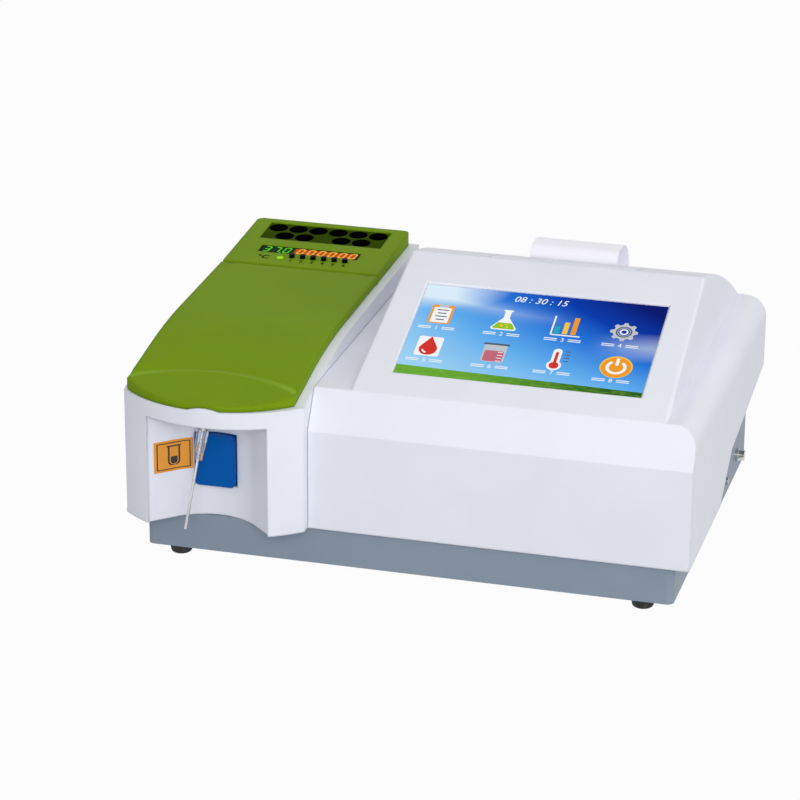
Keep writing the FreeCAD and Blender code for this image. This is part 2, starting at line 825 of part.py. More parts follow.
def case_prisms(name, inset=None):
    """The form of the white casing below its shoulder: side profile and rolled cross section."""
    side = [("front_y", "skirt_z"), ("front_y", "band_z"), ("slope_y", "shoulder_z"),
            ("rear_plane", "shoulder_z"),
            ("rear_plane", "tail_z"), ("ramp_head_y", "ramp_head_z"), ("ramp_foot_y", "skirt_z")]
    roll = "roll_radius * (1 - sqrt(0.5))"
    front = [("main_left", "skirt_z"), ("main_left", "shoulder_z"), ("case_half - roll_radius", "shoulder_z"),
             ("arc", f"case_half - {roll}", f"shoulder_z - {roll}"),
             ("case_half", "shoulder_z - roll_radius"), ("case_half", "skirt_z")]
    long = prism(f"{name}_side", "side", side, "main_left", "case_half", inset)
    cross = prism(f"{name}_cross", "front", front, "front_y", "rear_plane", inset)
    return common(name, long, cross)


def block_prisms(name, inset=None):
    """The form of the screen block: its slope, its bowed rear and its drafted sides."""
    side = [("slope_y", "shoulder_z"), ("ridge_y", "ridge_z"), ("arc", "rear_mid_y", "rear_mid_z"),
            ("rear_plane", "rear_foot_z"), ("rear_plane", "shoulder_z - 2 * shell_wall"),
            ("slope_y", "shoulder_z - 2 * shell_wall")]
    front = [("block_left", "shoulder_z - 2 * shell_wall"), ("block_left", "shoulder_z"),
             ("block_left + block_draft", "ridge_z"), ("block_right - block_draft", "ridge_z"),
             ("block_right", "shoulder_z"), ("block_right", "shoulder_z - 2 * shell_wall")]
    long = prism(f"{name}_side", "side", side, "block_left", "block_right", inset)
    cross = prism(f"{name}_cross", "front", front, "slope_y", "rear_plane", inset)
    return common(name, long, cross)


def tray_clearance(name):
    """The room that the tray and its lip take inside both casings."""
    top = tray_line("tray_overlap + part_gap")
    top[0] = ("rear_plane - shell_wall", top[0][1])
    top[3] = ("front_y + shell_wall", top[3][1])
    profile = [("front_y + shell_wall", "-overrun"), ("rear_plane - shell_wall", "-overrun")] + top
    return prism(name, "side", profile, "-case_half + shell_wall", "case_half - shell_wall")


def wire_window(name):
    """The window between the two casings that the wiring passes through."""
    return block(name, ("module_right - overrun / 2", "module_right + overrun / 2"),
                 ("crease_y - wire_window_width", "crease_y"),
                 ("wire_window_level", "wire_window_level + wire_window_height"))


def upper_casing():
    """The white casing: front, shoulders, and the block that holds the screen and the printer."""
    low = case_prisms("case_low")
    high = block_prisms("case_high")
    DOC.recompute()
    edges = []
    slant = Vector(measure("block_draft"), 0, 0)
    for index, edge in enumerate(high.Shape.Edges, start=1):
        middle = edge.valueAt((edge.FirstParameter + edge.LastParameter) / 2)
        if middle.z > measure("shoulder_z") + slant.x:
            edges.append((index, measure("block_edge"), measure("block_edge")))
    soft = DOC.addObject("Part::Fillet", "case_high_soft")
    soft.Base = high
    soft.Edges = edges
    outer = fuse("case_outer", low, soft)
    inner = fuse("case_inner", case_prisms("case_low_space", "shell_wall"),
                 block_prisms("case_high_space", "shell_wall"))
    reach = ("screen_foot", "screen_foot + screen_height")
    sides = ("block_x + screen_shift - screen_width / 2", "block_x + screen_shift + screen_width / 2")
    view = slope_slab("screen_opening", sides, reach, ("-overrun", "overrun"))
    seat = slope_slab("glass_seat",
                      (f"{sides[0]} - glass_margin - part_gap", f"{sides[1]} + glass_margin + part_gap"),
                      (f"{reach[0]} - glass_margin - part_gap", f"{reach[1]} + glass_margin + part_gap"),
                      ("glass_sink", "overrun"))
    flare = bevel_frame("screen_flare", sides, reach)
    door = block("door_opening", ("door_left - door_gap", "door_right + door_gap"),
                 ("door_low - door_gap", "door_high + slot_width"),
                 ("shoulder_z + shell_wall", "ridge_z + overrun"))
    body = cut("upper_casing_shell", outer, inner, tray_clearance("case_tray_room"), wire_window("case_window"))
    open_body = cut("upper_casing_open", body, view, seat, flare, door)
    bore = rod("door_ear_bores", "door_pin_radius + run_gap",
               ("door_left - door_gap - door_pin_length - run_gap", "door_pivot_y", "door_pivot_z"),
               "door_width + 2 * (door_gap + door_pin_length + run_gap)", "x")
    return keep(cut("upper_casing", fuse("upper_casing_with_ears", open_body, *door_ears()), bore))


def bevel_frame(name, sides, reach):
    """The bevel round the screen's opening, as a ring of ruled faces through two rectangles."""
    def corner_points(grow, depth):
        points = []
        for x, along in ((sides[0], reach[0]), (sides[1], reach[0]), (sides[1], reach[1]),
                         (sides[0], reach[1])):
            outward_x = f"{x} {'-' if x is sides[0] else '+'} {grow}"
            outward_along = f"{along} {'-' if along is reach[0] else '+'} {grow}"
            y, z = on_slope(outward_along, depth)
            points.append(Vector(measure(outward_x), measure(y), measure(z)))
        return points + points[:1]
    rims = [Part.makePolygon(corner_points("screen_bevel * 2", "-screen_bevel")),
            Part.makePolygon(corner_points("0", "screen_bevel"))]
    return formed(name, Part.makeLoft(rims, True, True))


def module_plan(bow, left, right, nose, rear):
    """The plan of the incubator's casing or lid: straight sides and a bowed nose."""
    return [(left, rear), (left, f"{nose} + {bow}"), ("arc", f"(({left}) + ({right})) / 2", nose),
            (right, f"{nose} + {bow}"), (right, rear)]


def rim_profile(lift, floor):
    """The side view of all that lies below the casing's rim, raised by a lift."""
    return [("nose_y - overrun", floor), ("nose_y - overrun", f"rim_front + {lift}"),
            ("nose_y + rim_step_back", f"rim_front + {lift}"), ("knee_y", f"rim_knee + {lift}"),
            ("arc", "(knee_y + brow_y) / 2", f"(rim_knee + rim_brow) / 2 + rim_bow + {lift}"),
            ("brow_y", f"rim_brow + {lift}"), ("rear_plane + overrun", f"rim_rear + {lift}"),
            ("rear_plane + overrun", floor)]


def recess_plan(grow="0"):
    """The plan of the sipper's recess: flared sides and a round back, grown by a wall."""
    half = f"recess_half + {grow}"
    arc_half = f"recess_arc_half + ({grow}) * sqrt(0.5)"
    rim_y = f"nose_y + recess_rim_back + ({grow}) * recess_flare_share"
    arc_y = f"recess_y - recess_arc_drop + ({grow}) * sqrt(0.5)"
    return [(f"module_x - ({half})", "nose_y - overrun"), (f"module_x - ({half})", rim_y),
            (f"module_x - ({arc_half})", arc_y), ("arc", "module_x", f"recess_y + {grow}"),
            (f"module_x + {arc_half}", arc_y), (f"module_x + {half}", rim_y),
            (f"module_x + {half}", "nose_y - overrun")]


def incubator_casing():
    """The white casing on the left: bowed front with the sipper's recess, open at the top below the lid."""
    plan = module_plan("nose_bow", "module_left", "module_right", "nose_y", "rear_plane")
    body = prism("module_body", "top", plan, "skirt_z", "cover_top")
    body = rounded("module_soft", body, "module_corner", {"x": "module_left", "y": "nose_y + nose_bow"},
                   {"x": "module_right", "y": "nose_y + nose_bow"}, {"x": "module_left", "y": "rear_plane"})
    below_rim = prism("module_rim", "side", rim_profile("0", "-overrun"), "-case_width", "case_width")
    ramp = prism("module_ramp", "side", [("ramp_foot_y", "skirt_z"), ("ramp_head_y", "ramp_head_z"),
                                         ("rear_plane + overrun", "tail_z + overrun * tail_rise / ramp_back"),
                                         ("rear_plane + overrun", "-overrun"), ("ramp_foot_y", "-overrun")],
                 "-case_width", "case_width")
    recess = prism("recess_room", "top", recess_plan(), "-overrun", "recess_top")
    outer = cut("module_outer", common("module_below_rim", body, below_rim), recess, ramp)
    space = prism("module_space", "top", plan, "skirt_z + shell_wall", "cover_top", "shell_wall")
    ledge = prism("module_under_ledge", "side", rim_profile("-shell_wall", "-overrun"), "-case_width",
                  "case_width")
    wall = prism("recess_wall", "top", recess_plan("shell_wall"), "-overrun", "recess_top + shell_wall")
    room = cut("module_room", common("module_room_below", space, ledge), wall)
    mouth = prism("module_mouth", "top",
                  module_plan("nose_bow", "module_left + rim_ledge_left", "module_right - rim_ledge_right",
                              "nose_y + rim_ledge_front", "panel_rear + part_gap"), "deck_top", "cover_top")
    ears = hinge_ears()
    wall_below = prism("recess_wall_low", "top", recess_plan("shell_wall"), "-overrun",
                       "recess_top + shell_wall")
    tray_room = cut("module_tray_space", tray_clearance("module_tray_room"), wall_below)
    relief = rod("barrel_relief", "hinge_radius + part_gap", ("lid_left - part_gap", "hinge_y", "hinge_z"),
                 "lid_right - lid_left + 2 * part_gap", "x")
    shell = cut("module_shell", outer, room, mouth, tray_room, wire_window("module_window"), relief,
                button_hole(), sipper_hole("casing_sipper_hole"))
    slab = prism("module_floor_plan", "top", plan, "skirt_z", "skirt_z + shell_wall")
    front = block("module_floor_front", ("-case_width", "case_width"),
                  ("nose_y - overrun", "lip_front - part_gap"),
                  ("skirt_z", "skirt_z + shell_wall"))
    niche = prism("module_floor_niche", "top", recess_plan(), "-overrun", "recess_top")
    floor = cut("module_floor", common("module_floor_slab", slab, front), niche)
    rest = common("finger_rest", finger_arch("finger_rest_arch", "part_gap", "0"),
                  prism("finger_rest_plan", "top", plan, "deck_top", "cover_top"))
    bores = rod("ear_bores", "hinge_pin_radius + run_gap",
                ("module_left + rim_ledge_left - hinge_ear", "hinge_y", "hinge_z"),
                "module_width - rim_ledge_left - rim_ledge_right + 2 * hinge_ear", "x")
    return keep(cut("incubator_casing", fuse("module_with_ears", shell, floor, rest, *ears), bores))


def hinge_ears():
    """The two ears on the casing's ledges that hold the lid's hinge pins."""
    ears = []
    for index, (low, high) in enumerate(ear_spans()):
        ears.append(block(f"ear_post_{index}", (low, high), ("hinge_y - ear_radius", "hinge_y + ear_radius"),
                          ("hinge_z - ear_drop", "hinge_z")))
        ears.append(rod(f"ear_ring_{index}", "ear_radius", (low, "hinge_y", "hinge_z"), "hinge_ear", "x"))
    return ears


def button_hole():
    """The hole in the recess's back for the aspirate button."""
    return block("button_hole",
                 ("button_x - button_width / 2 - button_gap", "button_x + button_width / 2 + button_gap"),
                 ("nose_y + recess_rim_back", "recess_y + overrun / 2"),
                 ("button_level - button_gap", "button_level + button_height + button_gap"))


def sipper_line():
    """The sipper's upper end at the recess's roof, and its direction down and forward."""
    start = Vector(measure("module_x - sipper_top_shift"), measure("nose_y + sipper_top_back"),
                   measure("recess_top"))
    lean = Vector(-measure("sipper_side_lean"), -measure("sipper_front_lean"), -measure("sipper_drop"))
    return start, lean.normalize()


def sipper_hole(name):
    """The hole through the recess's roof, along the sipper."""
    start, way = sipper_line()
    hole = Part.makeCylinder(measure("collar_radius"), measure("overrun"),
                             start - way * measure("overrun / 2"), way)
    return formed(name, hole)


def sipper_tube():
    """The steel sipper tube, from above the roof down to its open tip."""
    start, way = sipper_line()
    length = measure("sqrt(sipper_side_lean ^ 2 + sipper_front_lean ^ 2 + sipper_drop ^ 2)")
    top = start - way * measure("needle_above")
    tube = Part.makeCylinder(measure("needle_radius"), length + measure("needle_above"), top, way)
    bore = Part.makeCylinder(measure("needle_bore"), length + measure("needle_above"), top, way)
    return keep(formed("sipper_tube", tube.cut(bore)))


def sipper_collar():
    """The metal collar that grips the sipper in the recess's roof."""
    start, way = sipper_line()
    collar = Part.makeCylinder(measure("collar_radius"), measure("collar_length + shell_wall"),
                               start - way * measure("shell_wall"), way)
    bore = Part.makeCylinder(measure("needle_radius"), measure("overrun"), start - way * measure("overrun / 2"),
                             way)
    return keep(formed("sipper_collar", collar.cut(bore)))


def sipper_sleeve():
    """The clear tapered sleeve below the collar."""
    start, way = sipper_line()
    top = start + way * measure("collar_length")
    sleeve = Part.makeCone(measure("sleeve_radius"), measure("sleeve_tip_radius"), measure("sleeve_length"),
                           top, way)
    bore = Part.makeCylinder(measure("needle_radius"), measure("sleeve_length"), top, way)
    pocket = Part.makeCylinder(measure("sleeve_bore"), measure("sleeve_length * 3 / 4"), top, way)
    return keep(formed("sipper_sleeve", sleeve.cut(bore.fuse(pocket))))


def lid_profile(drop):
    """The side view of all that lies below the green top, lowered by a drop."""
    return [("nose_y - overrun", "0"),
            ("nose_y - overrun", f"nose_top - {drop} - (knee_top - nose_top) * overrun / knee_back"),
            ("knee_y", f"knee_top - {drop}"),
            ("arc", "(knee_y + brow_y) / 2", f"(knee_top + brow_top) / 2 + knee_bow - {drop}"),
            ("brow_y", f"brow_top - {drop}"), ("crease_y", f"crease_top - {drop}"),
            ("rear_plane + overrun", f"cover_top + overrun * cover_slope - {drop}"),
            ("rear_plane + overrun", "0")]


def scoop_tool(name, drop):
    """The lid's shallow scoop: a round bottom that follows the top's curve, ended by a curved crest."""
    low = Vector(0, measure("nose_y + scoop_low_back"), measure(f"scoop_low_top - {drop}"))
    high = Vector(0, measure("nose_y + scoop_high_back"), measure(f"scoop_high_top - {drop}"))
    chord = high - low
    sag = measure("scoop_sag")
    path = (chord.Length ** 2 / 4 + sag ** 2) / (2 * sag)
    down = Vector(0, chord.z, -chord.y).normalize()
    centre = (low + high) * 0.5 + down * (path - sag)
    centre.x = measure("lid_x")
    across = measure("scoop_radius")
    ring = Part.makeTorus(path + across, across, centre, Vector(1, 0, 0))
    reach = measure("scoop_end_back - crest_back + crest_bow")
    crest = Vector(centre.x, measure("nose_y + crest_back"), 0)
    left = Vector(measure("lid_left - lid_wall"), measure("nose_y + crest_back - crest_bow"), 0)
    right = Vector(measure("lid_right + lid_wall"), left.y, 0)
    front = Part.Arc(left, crest, right).toShape()
    back = Part.makePolygon([right, right + Vector(0, reach, 0), left + Vector(0, reach, 0), left])
    plan = Part.Face(Part.Wire([front] + back.Edges))
    return formed(name, ring.common(plan.extrude(Vector(0, 0, measure("cover_top")))))


def lid_form(name, drop, inset=None):
    """All that lies inside the lid's plan and below its top, with the scoop taken out."""
    plan = module_plan("lid_nose_bow", "lid_left", "lid_right", "nose_y + lid_nose_inset", "hinge_y")
    upright = prism(f"{name}_plan", "top", plan, "deck_top", "cover_top", inset)
    below = prism(f"{name}_top", "side", lid_profile(drop), "lid_left - overrun", "lid_right + overrun")
    return cut(f"{name}_form", common(f"{name}_body", upright, below), scoop_tool(f"{name}_scoop", drop))


def finger_arch(name, inset, lift):
    """The low arch at the middle of the rim's front, where a finger lifts the lid."""
    low = f"lid_x + notch_shift - notch_width / 2 + {inset}"
    high = f"lid_x + notch_shift + notch_width / 2 - {inset}"
    points = [(low, "rim_front - shell_wall"), (low, f"rim_front + {lift}"),
              ("arc", "lid_x + notch_shift", f"rim_front + notch_rise + {lift}"), (high, f"rim_front + {lift}"),
              (high, "rim_front - shell_wall")]
    return prism(name, "front", points, "nose_y - overrun", f"nose_y + lid_nose_inset + lid_wall * 2 - {inset}")


def ear_spans():
    """The places along the hinge of the casing's two ears."""
    left = "module_left + rim_ledge_left"
    right = "module_right - rim_ledge_right"
    return [(left, f"{left} + hinge_ear"), (f"{right} - hinge_ear", right)]


def flip_lid():
    """The green lid: bowed nose, shallow scoop, thin walls and a hinge barrel at its rear."""
    barrel = rod("lid_barrel", "hinge_radius", ("lid_left", "hinge_y", "hinge_z"), "lid_right - lid_left", "x")
    rim = prism("lid_rim", "side", rim_profile("part_gap", "0"), "-case_width", "case_width")
    notch = finger_arch("lid_notch", "0", "part_gap")
    tools = [rim, lid_form("lid_space", "lid_wall", "lid_wall"), notch]
    body = fuse("lid_with_barrel", cut("lid_shell", lid_form("lid", "0"), *tools), barrel)
    reliefs = [rod(f"lid_relief_{index}", "ear_radius + part_gap", (f"{low} - part_gap", "hinge_y", "hinge_z"),
                   "hinge_ear + 2 * part_gap", "x") for index, (low, high) in enumerate(ear_spans())]
    necks = [block(f"lid_neck_{index}", (f"{low} - part_gap", f"{high} + part_gap"),
                   ("hinge_y - ear_radius - part_gap - ear_swing", "hinge_y + hinge_radius + part_gap"),
                   ("hinge_z - overrun", "hinge_z")) for index, (low, high) in enumerate(ear_spans())]
    heels = [block(f"lid_heel_{index}", (f"{low} - part_gap", f"{high} + part_gap"),
                   ("hinge_y", "hinge_y + hinge_radius + part_gap"),
                   ("hinge_z", "hinge_z + hinge_radius + part_gap"))
             for index, (low, high) in enumerate(ear_spans())]
    return keep(cut("flip_lid", body, *reliefs, *necks, *heels, *pin_rods("lid_bore")))


def pin_rods(name):
    """The lid's two hinge pins, each through its ear."""
    return [rod(f"{name}_{index}", "hinge_pin_radius",
                (f"({low} + {high}) / 2 - hinge_pin_length / 2", "hinge_y", "hinge_z"), "hinge_pin_length", "x")
            for index, (low, high) in enumerate(ear_spans())]


def lid_hinge_pins():
    """The pins that the lid turns on."""
    return keep(group("lid_hinge_pins", *pin_rods("hinge_pin")))


def well_places():
    """The centres of the ten wells: six at the rear, four in front."""
    rear = [(f"lid_x + ({index} - {(REAR_WELLS - 1) / 2}) * well_pitch", "well_rear_y")
            for index in range(REAR_WELLS)]
    front = [(f"lid_x + ({side}) * (well_front_half + {step} * well_pitch)", "well_front_y")
             for side in (-1, 1) for step in (0, 1)]
    return rear + front


def wells(name, radius, low, high):
    """Ten upright bores."""
    return [rod(f"{name}_{index}", radius, (x, y, low), f"({high}) - ({low})")
            for index, (x, y) in enumerate(well_places(), start=1)]


def cover_slab(name, x, y, depths):
    """A slab that lies along the cover's sloping top between two depths."""
    points = [(y[0], cover_z(y[0], depths[1])), (y[1], cover_z(y[1], depths[1])),
              (y[1], cover_z(y[1], depths[0])), (y[0], cover_z(y[0], depths[0]))]
    return prism(name, "side", points, x[0], x[1])


def key_places():
    """The places across the cover of the six keys."""
    return [f"key_x + ({index} - {(KEY_COUNT - 1) / 2}) * key_pitch" for index in range(KEY_COUNT)]


def incubator_cover():
    """The fixed green cover behind the lid, with openings for the wells, the window and the keys."""
    plan = block("cover_plan", ("lid_left", "lid_right"), ("crease_y", "rear_plane"),
                 ("deck_top", "cover_top + overrun"))
    plan = rounded("cover_soft", plan, "cover_corner", {"x": "lid_left", "y": "rear_plane"},
                   {"x": "lid_right", "y": "rear_plane"})
    below = prism("cover_below", "side", lid_profile("0"), "-case_width", "case_width")
    rim = prism("cover_rim", "side", rim_profile("0", "0"), "-case_width", "case_width")
    space = block("cover_space", ("lid_left + lid_wall", "lid_right - lid_wall"),
                  ("crease_y + lid_wall", "rear_plane - lid_wall"), ("deck_top", "cover_top"))
    low = prism("cover_under", "side", lid_profile("lid_wall"), "-case_width", "case_width")
    body = cut("cover_shell", common("cover_body", plan, below), rim, common("cover_room", space, low))
    posts = [rod(f"cover_post_{side}_{y}", "post_radius",
                 (f"lid_x + ({side}) * post_half", f"board_y + ({y}) * post_reach",
                                                          "board_top"), "crease_top - lid_wall / 2 - board_top")
             for side in (-1, 1) for y in (-1, 1)]
    panel = block("cover_panel_hole",
                  ("lid_x - panel_width / 2 - panel_gap", "lid_x + panel_width / 2 + panel_gap"),
                  ("panel_front - panel_gap", "panel_rear + panel_gap"),
                  ("crease_top - overrun", "cover_top + overrun"))
    window = block("cover_window_hole",
                   ("window_x - window_width / 2 - panel_gap", "window_x + window_width / 2 + panel_gap"),
                   ("window_y - panel_gap", "window_y + window_depth + panel_gap"),
                   ("crease_top - overrun", "cover_top + overrun"))
    keys = [rod(f"cover_key_hole_{index}", "key_radius + key_clear", (x, "key_y", "crease_top - overrun"),
                "2 * overrun")
            for index, x in enumerate(key_places(), start=1)]
    led = rod("cover_led_hole", "led_radius", ("led_x", "led_y", "crease_top - overrun"), "2 * overrun")
    return keep(cut("incubator_cover", fuse("cover_with_posts", body, *posts), panel, window, led, *keys))


def well_panel():
    """The dark panel with ten holes, let into the cover."""
    slab = cover_slab("well_panel_slab", ("lid_x - panel_width / 2", "lid_x + panel_width / 2"),
                      ("panel_front", "panel_rear"), ("panel_sink", "lid_wall"))
    return keep(cut("well_panel", slab,
                    *wells("panel_well", "well_radius + well_rim", "heater_bottom", "cover_top + overrun")))


def incubator_block():
    """The heated block with ten blind bores, hung below the cover by its flange."""
    inner = ("panel_front + well_rim", "panel_rear - well_rim")
    body = prism("heater_body", "side", [(inner[0], "heater_bottom"), (inner[1], "heater_bottom"),
                                         (inner[1], cover_z(inner[1], "lid_wall")),
                                         (inner[0], cover_z(inner[0], "lid_wall"))],
                 "lid_x - panel_width / 2 + well_rim", "lid_x + panel_width / 2 - well_rim")
    flange = cover_slab("heater_lip",
                        ("lid_x - panel_width / 2 - heater_flange", "lid_x + panel_width / 2 + heater_flange"),
                        ("panel_front - heater_flange", "panel_rear - well_rim"),
                        ("lid_wall", "lid_wall + heater_wall"))
    return keep(cut("incubator_block", fuse("heater_with_lip", body, flange),
                    *wells("heater_well", "well_radius", "well_floor", "cover_top + overrun")))


def display_window():
    """The clear window over the digits."""
    return keep(cover_slab("display_window", ("window_x - window_width / 2", "window_x + window_width / 2"),
                           ("window_y", "window_y + window_depth"),
                           ("window_sink", "window_sink + window_thick")))


def digit_display():
    """The digit module that stands on the key board and carries the window."""
    y = ("window_y + window_thick / 2", "window_y + window_depth - window_thick / 2")
    return keep(prism("digit_display", "side", [(y[0], "board_top"), (y[1], "board_top"),
                                                (y[1], cover_z(y[1], "window_sink + window_thick")),
                                                (y[0], cover_z(y[0], "window_sink + window_thick"))],
                      "window_x - window_width / 2 + window_thick / 2",
                      "window_x + window_width / 2 - window_thick / 2"))


def key_board():
    """The small circuit board below the cover, with a switch below each key."""
    board = block("key_board_plate", ("lid_x - board_width / 2", "lid_x + board_width / 2"),
                  ("board_low_y", "board_high_y"), ("board_top - board_thick", "board_top"))
    top = cover_z("key_y", "lid_wall + key_flange_gap + key_flange_thick + key_travel + part_gap")
    switches = [block(f"key_switch_{index}", (f"{x} - switch_side / 2", f"{x} + switch_side / 2"),
                      ("key_y - switch_side / 2", "key_y + switch_side / 2"), ("board_top", top))
                for index, x in enumerate(key_places(), start=1)]
    return keep(fuse("key_board", board, *switches))


def timer_keys():
    """Six round keys, each with a flange that holds it below the cover."""
    under = cover_z("key_y", "lid_wall + key_flange_gap")
    for index, x in enumerate(key_places(), start=1):
        flange = rod(f"key_flange_{index}", "key_radius + key_flange",
                     (x, "key_y", f"{under} - key_flange_thick"),
                     "key_flange_thick")
        shaft = rod(f"key_shaft_{index}", "key_radius", (x, "key_y", f"{under} - key_flange_thick"),
                    "key_flange_thick + key_flange_gap + lid_wall + key_proud")
        keep(fuse(f"timer_key_{index}", flange, shaft))


def indicator_led():
    """The indicator lamp in the cover."""
    return keep(rod("indicator_led", "led_radius", ("led_x", "led_y", "board_top"),
                    f"{cover_z('led_y')} + led_proud - board_top"))


def chamber_deck():
    """The floor of the chamber below the lid."""
    clear = "(shell_wall + deck_clear)"
    plate = prism("deck_plate", "top",
                  module_plan("nose_bow", f"module_left + {clear}", f"module_right - {clear}",
                                                   f"nose_y + {clear}", "deck_rear"), "deck_bottom", "deck_top")
    sipper = rod("deck_sipper_hole", "collar_radius * 2",
                 ("module_x - sipper_top_shift", "nose_y + sipper_top_back", "skirt_z"),
                 "case_depth")
    cell = block("deck_cell_hole", ("holder_x - part_gap", "holder_x + holder_side + part_gap"),
                 ("bench_y - holder_side / 2 - part_gap", "bench_y + holder_side / 2 + part_gap"),
                 ("skirt_z", "cover_top"))
    return keep(cut("chamber_deck", plate, sipper, cell))


def aspirate_button():
    """The blue button: its face, a flange behind the wall and a stem towards the switch."""
    def face(name, grow, y):
        return block(name,
                     (f"button_x - button_width / 2 - ({grow})", f"button_x + button_width / 2 + ({grow})"), y,
                     (f"button_level - ({grow})", f"button_level + button_height + ({grow})"))
    half = "button_x {} button_width / 2"
    front = face("button_front", "0", ("button_face", "button_back + button_wall"))
    front = rounded("button_soft", front, "button_corner",
                    {"x": half.format("-"), "z": "button_level + button_height"},
                    {"x": half.format("+"), "z": "button_level + button_height"},
                    {"x": half.format("-"), "z": "button_level"}, {"x": half.format("+"), "z": "button_level"})
    flange = face("button_flange", "button_wall", ("button_back", "button_back + button_wall"))
    middle = "button_level + button_height / 2"
    stem = block("button_stem", ("button_x - stem_side / 2", "button_x + stem_side / 2"),
                 ("button_back + button_wall", "button_back + button_wall + stem_side"),
                 (f"{middle} - stem_side / 2", f"{middle} + stem_side / 2"))
    return keep(fuse("aspirate_button", front, flange, stem))


def button_switch():
    """The switch behind the button, on an angle that stands on the tray's floor."""
    middle = "button_level + button_height / 2"
    body = block("switch_body", ("button_x - switch_width / 2", "button_x + switch_width / 2"),
                 ("switch_y", "switch_y + switch_depth"),
                 (f"{middle} - switch_width / 2", f"{middle} + switch_width / 2"))
    y = "switch_y + switch_depth"
    plate = block("bracket_plate", ("button_x - switch_width", "button_x + switch_width"),
                  (y, f"{y} + plate_thick"),
                  ("tray_floor", "button_level + button_height"))
    foot = block("bracket_foot", ("button_x - switch_width", "button_x + switch_width"),
                 (y, f"{y} + switch_depth"),
                 ("tray_floor", "tray_floor + plate_thick"))
    return keep(fuse("button_switch", body, plate, foot))


def amber_label():
    """The plain amber label on the recess's round back."""
    grow_in = prism("label_skin", "top", recess_plan("0"), "label_level", "label_level + label_height")
    core = prism("label_core", "top", recess_plan("-label_thick"), "label_level - overrun",
                 "label_level + label_height + overrun")
    left = "button_x - button_width / 2 - button_gap - label_shift - label_width"
    strip = block("label_strip", (left, f"{left} + label_width"),
                  ("nose_y + recess_rim_back + label_thick", "recess_y + overrun"),
                  ("label_level", "label_level + label_height"))
    return keep(common("amber_label", cut("label_ring", grow_in, core), strip))


def screen_sides(grow):
    """The screen's sides, grown by a margin."""
    return (f"block_x + screen_shift - screen_width / 2 - ({grow})",
            f"block_x + screen_shift + screen_width / 2 + ({grow})")


def screen_reach(grow):
    """The screen's lower and upper ends along the slope, grown by a margin."""
    return (f"screen_foot - ({grow})", f"screen_foot + screen_height + ({grow})")


def touch_glass():
    """The touch glass below the casing's edge."""
    return keep(slope_slab("touch_glass", screen_sides("glass_margin"), screen_reach("glass_margin"),
                           ("glass_sink", "glass_sink + glass_thick")))


def lcd_module():
    """The display panel below the touch glass."""
    return keep(slope_slab("lcd_module", screen_sides("glass_margin"), screen_reach("glass_margin"),
                           ("glass_sink + glass_thick", "glass_sink + glass_thick + panel_thick")))


def lcd_frame():
    """The frame that holds the display against the casing from behind."""
    deep = "glass_sink + glass_thick + panel_thick"
    outer = slope_slab("frame_outer", screen_sides("glass_margin * 2"), screen_reach("glass_margin * 2"),
                       ("shell_wall", f"{deep} + plate_thick"))
    inner = slope_slab("frame_inner", screen_sides("glass_margin + part_gap"),
                       screen_reach("glass_margin + part_gap"),
                       ("0", deep))
    hole = slope_slab("frame_hole", screen_sides("-glass_margin * 2"), screen_reach("-glass_margin * 2"),
                      ("0", "overrun * 2"))
    return keep(cut("lcd_frame", outer, inner, hole))


def printer_cover():
    """The door over the paper roll, moulded with its hinge barrel and two trunnions."""
    box = block("door_box", ("door_left", "door_right"), ("door_pivot_y", "door_high"),
                ("shoulder_z + shell_wall", "ridge_z + overrun"))
    skin = cut("door_skin", block_prisms("door_outside"), block_prisms("door_inside", "door_wall"))
    plate = common("door_plate", skin, box)
    barrel = rod("door_barrel", "door_nose", ("door_left", "door_pivot_y", "door_pivot_z"), "door_width", "x")
    pins = rod("door_pins", "door_pin_radius",
               ("door_left - door_gap - door_pin_length", "door_pivot_y", "door_pivot_z"),
               "door_width + 2 * (door_gap + door_pin_length)", "x")
    return keep(fuse("printer_cover", plate, barrel, pins))


def door_ears():
    """The casing's two ears that hold the door's trunnions."""
    ears = []
    for side, low in (("left", "door_left - door_gap - door_pin_length"), ("right", "door_right + door_gap")):
        ears.append(block(f"door_ear_{side}", (low, f"{low} + door_pin_length"),
                          ("door_pivot_y - ear_radius", "door_pivot_y + ear_radius"),
                          ("door_pivot_z - ear_radius", "door_pivot_z + door_nose / 2")))
    return ears


def printer_housing():
    """Two side plates and a floor below the casing, with the roll's spindle and the print head."""
    space = DOC.getObject("case_high_space")
    y = ("ridge_y + frame_front", "paper_y + frame_rear + platen_radius * 2")
    mast = "platen_y + platen_shaft * 2"
    profile = [(y[0], "frame_floor"), (y[1], "frame_floor"), (y[1], "ridge_z"), (mast, "ridge_z"),
               (mast, "platen_level + platen_radius"), (y[0], "platen_level + platen_radius")]
    plates = [prism(f"printer_plate_{side}", "side", profile, low, high) for side, low, high in (
        ("left", "printer_x - plate_outer", "printer_x - plate_inner"),
        ("right", "printer_x + plate_inner", "printer_x + plate_outer"))]
    floor = block("printer_floor", ("printer_x - plate_outer", "printer_x + plate_outer"), y,
                  ("frame_floor - plate_thick", "frame_floor"))
    trimmed = common("printer_trimmed", fuse("printer_frame", *plates, floor),
                     fuse("printer_room", space, DOC.getObject("case_low_space")))
    spindle = rod("roll_spindle", "spindle_radius", ("printer_x - plate_outer", "roll_y", "roll_level"),
                  "2 * plate_outer", "x")
    platen = rod("platen_holes", "platen_shaft + run_gap",
                 ("printer_x - plate_outer - overrun", "platen_y", "platen_level"),
                 "case_width", "x")
    head = block("print_head", ("printer_x - plate_inner", "printer_x + plate_inner"),
                 ("paper_y - part_gap - head_depth", "paper_y - part_gap"),
                 ("platen_level - head_height / 2", "platen_level + head_height / 2"))
    return keep(fuse("printer_housing", cut("printer_bored", trimmed, platen), spindle, head))


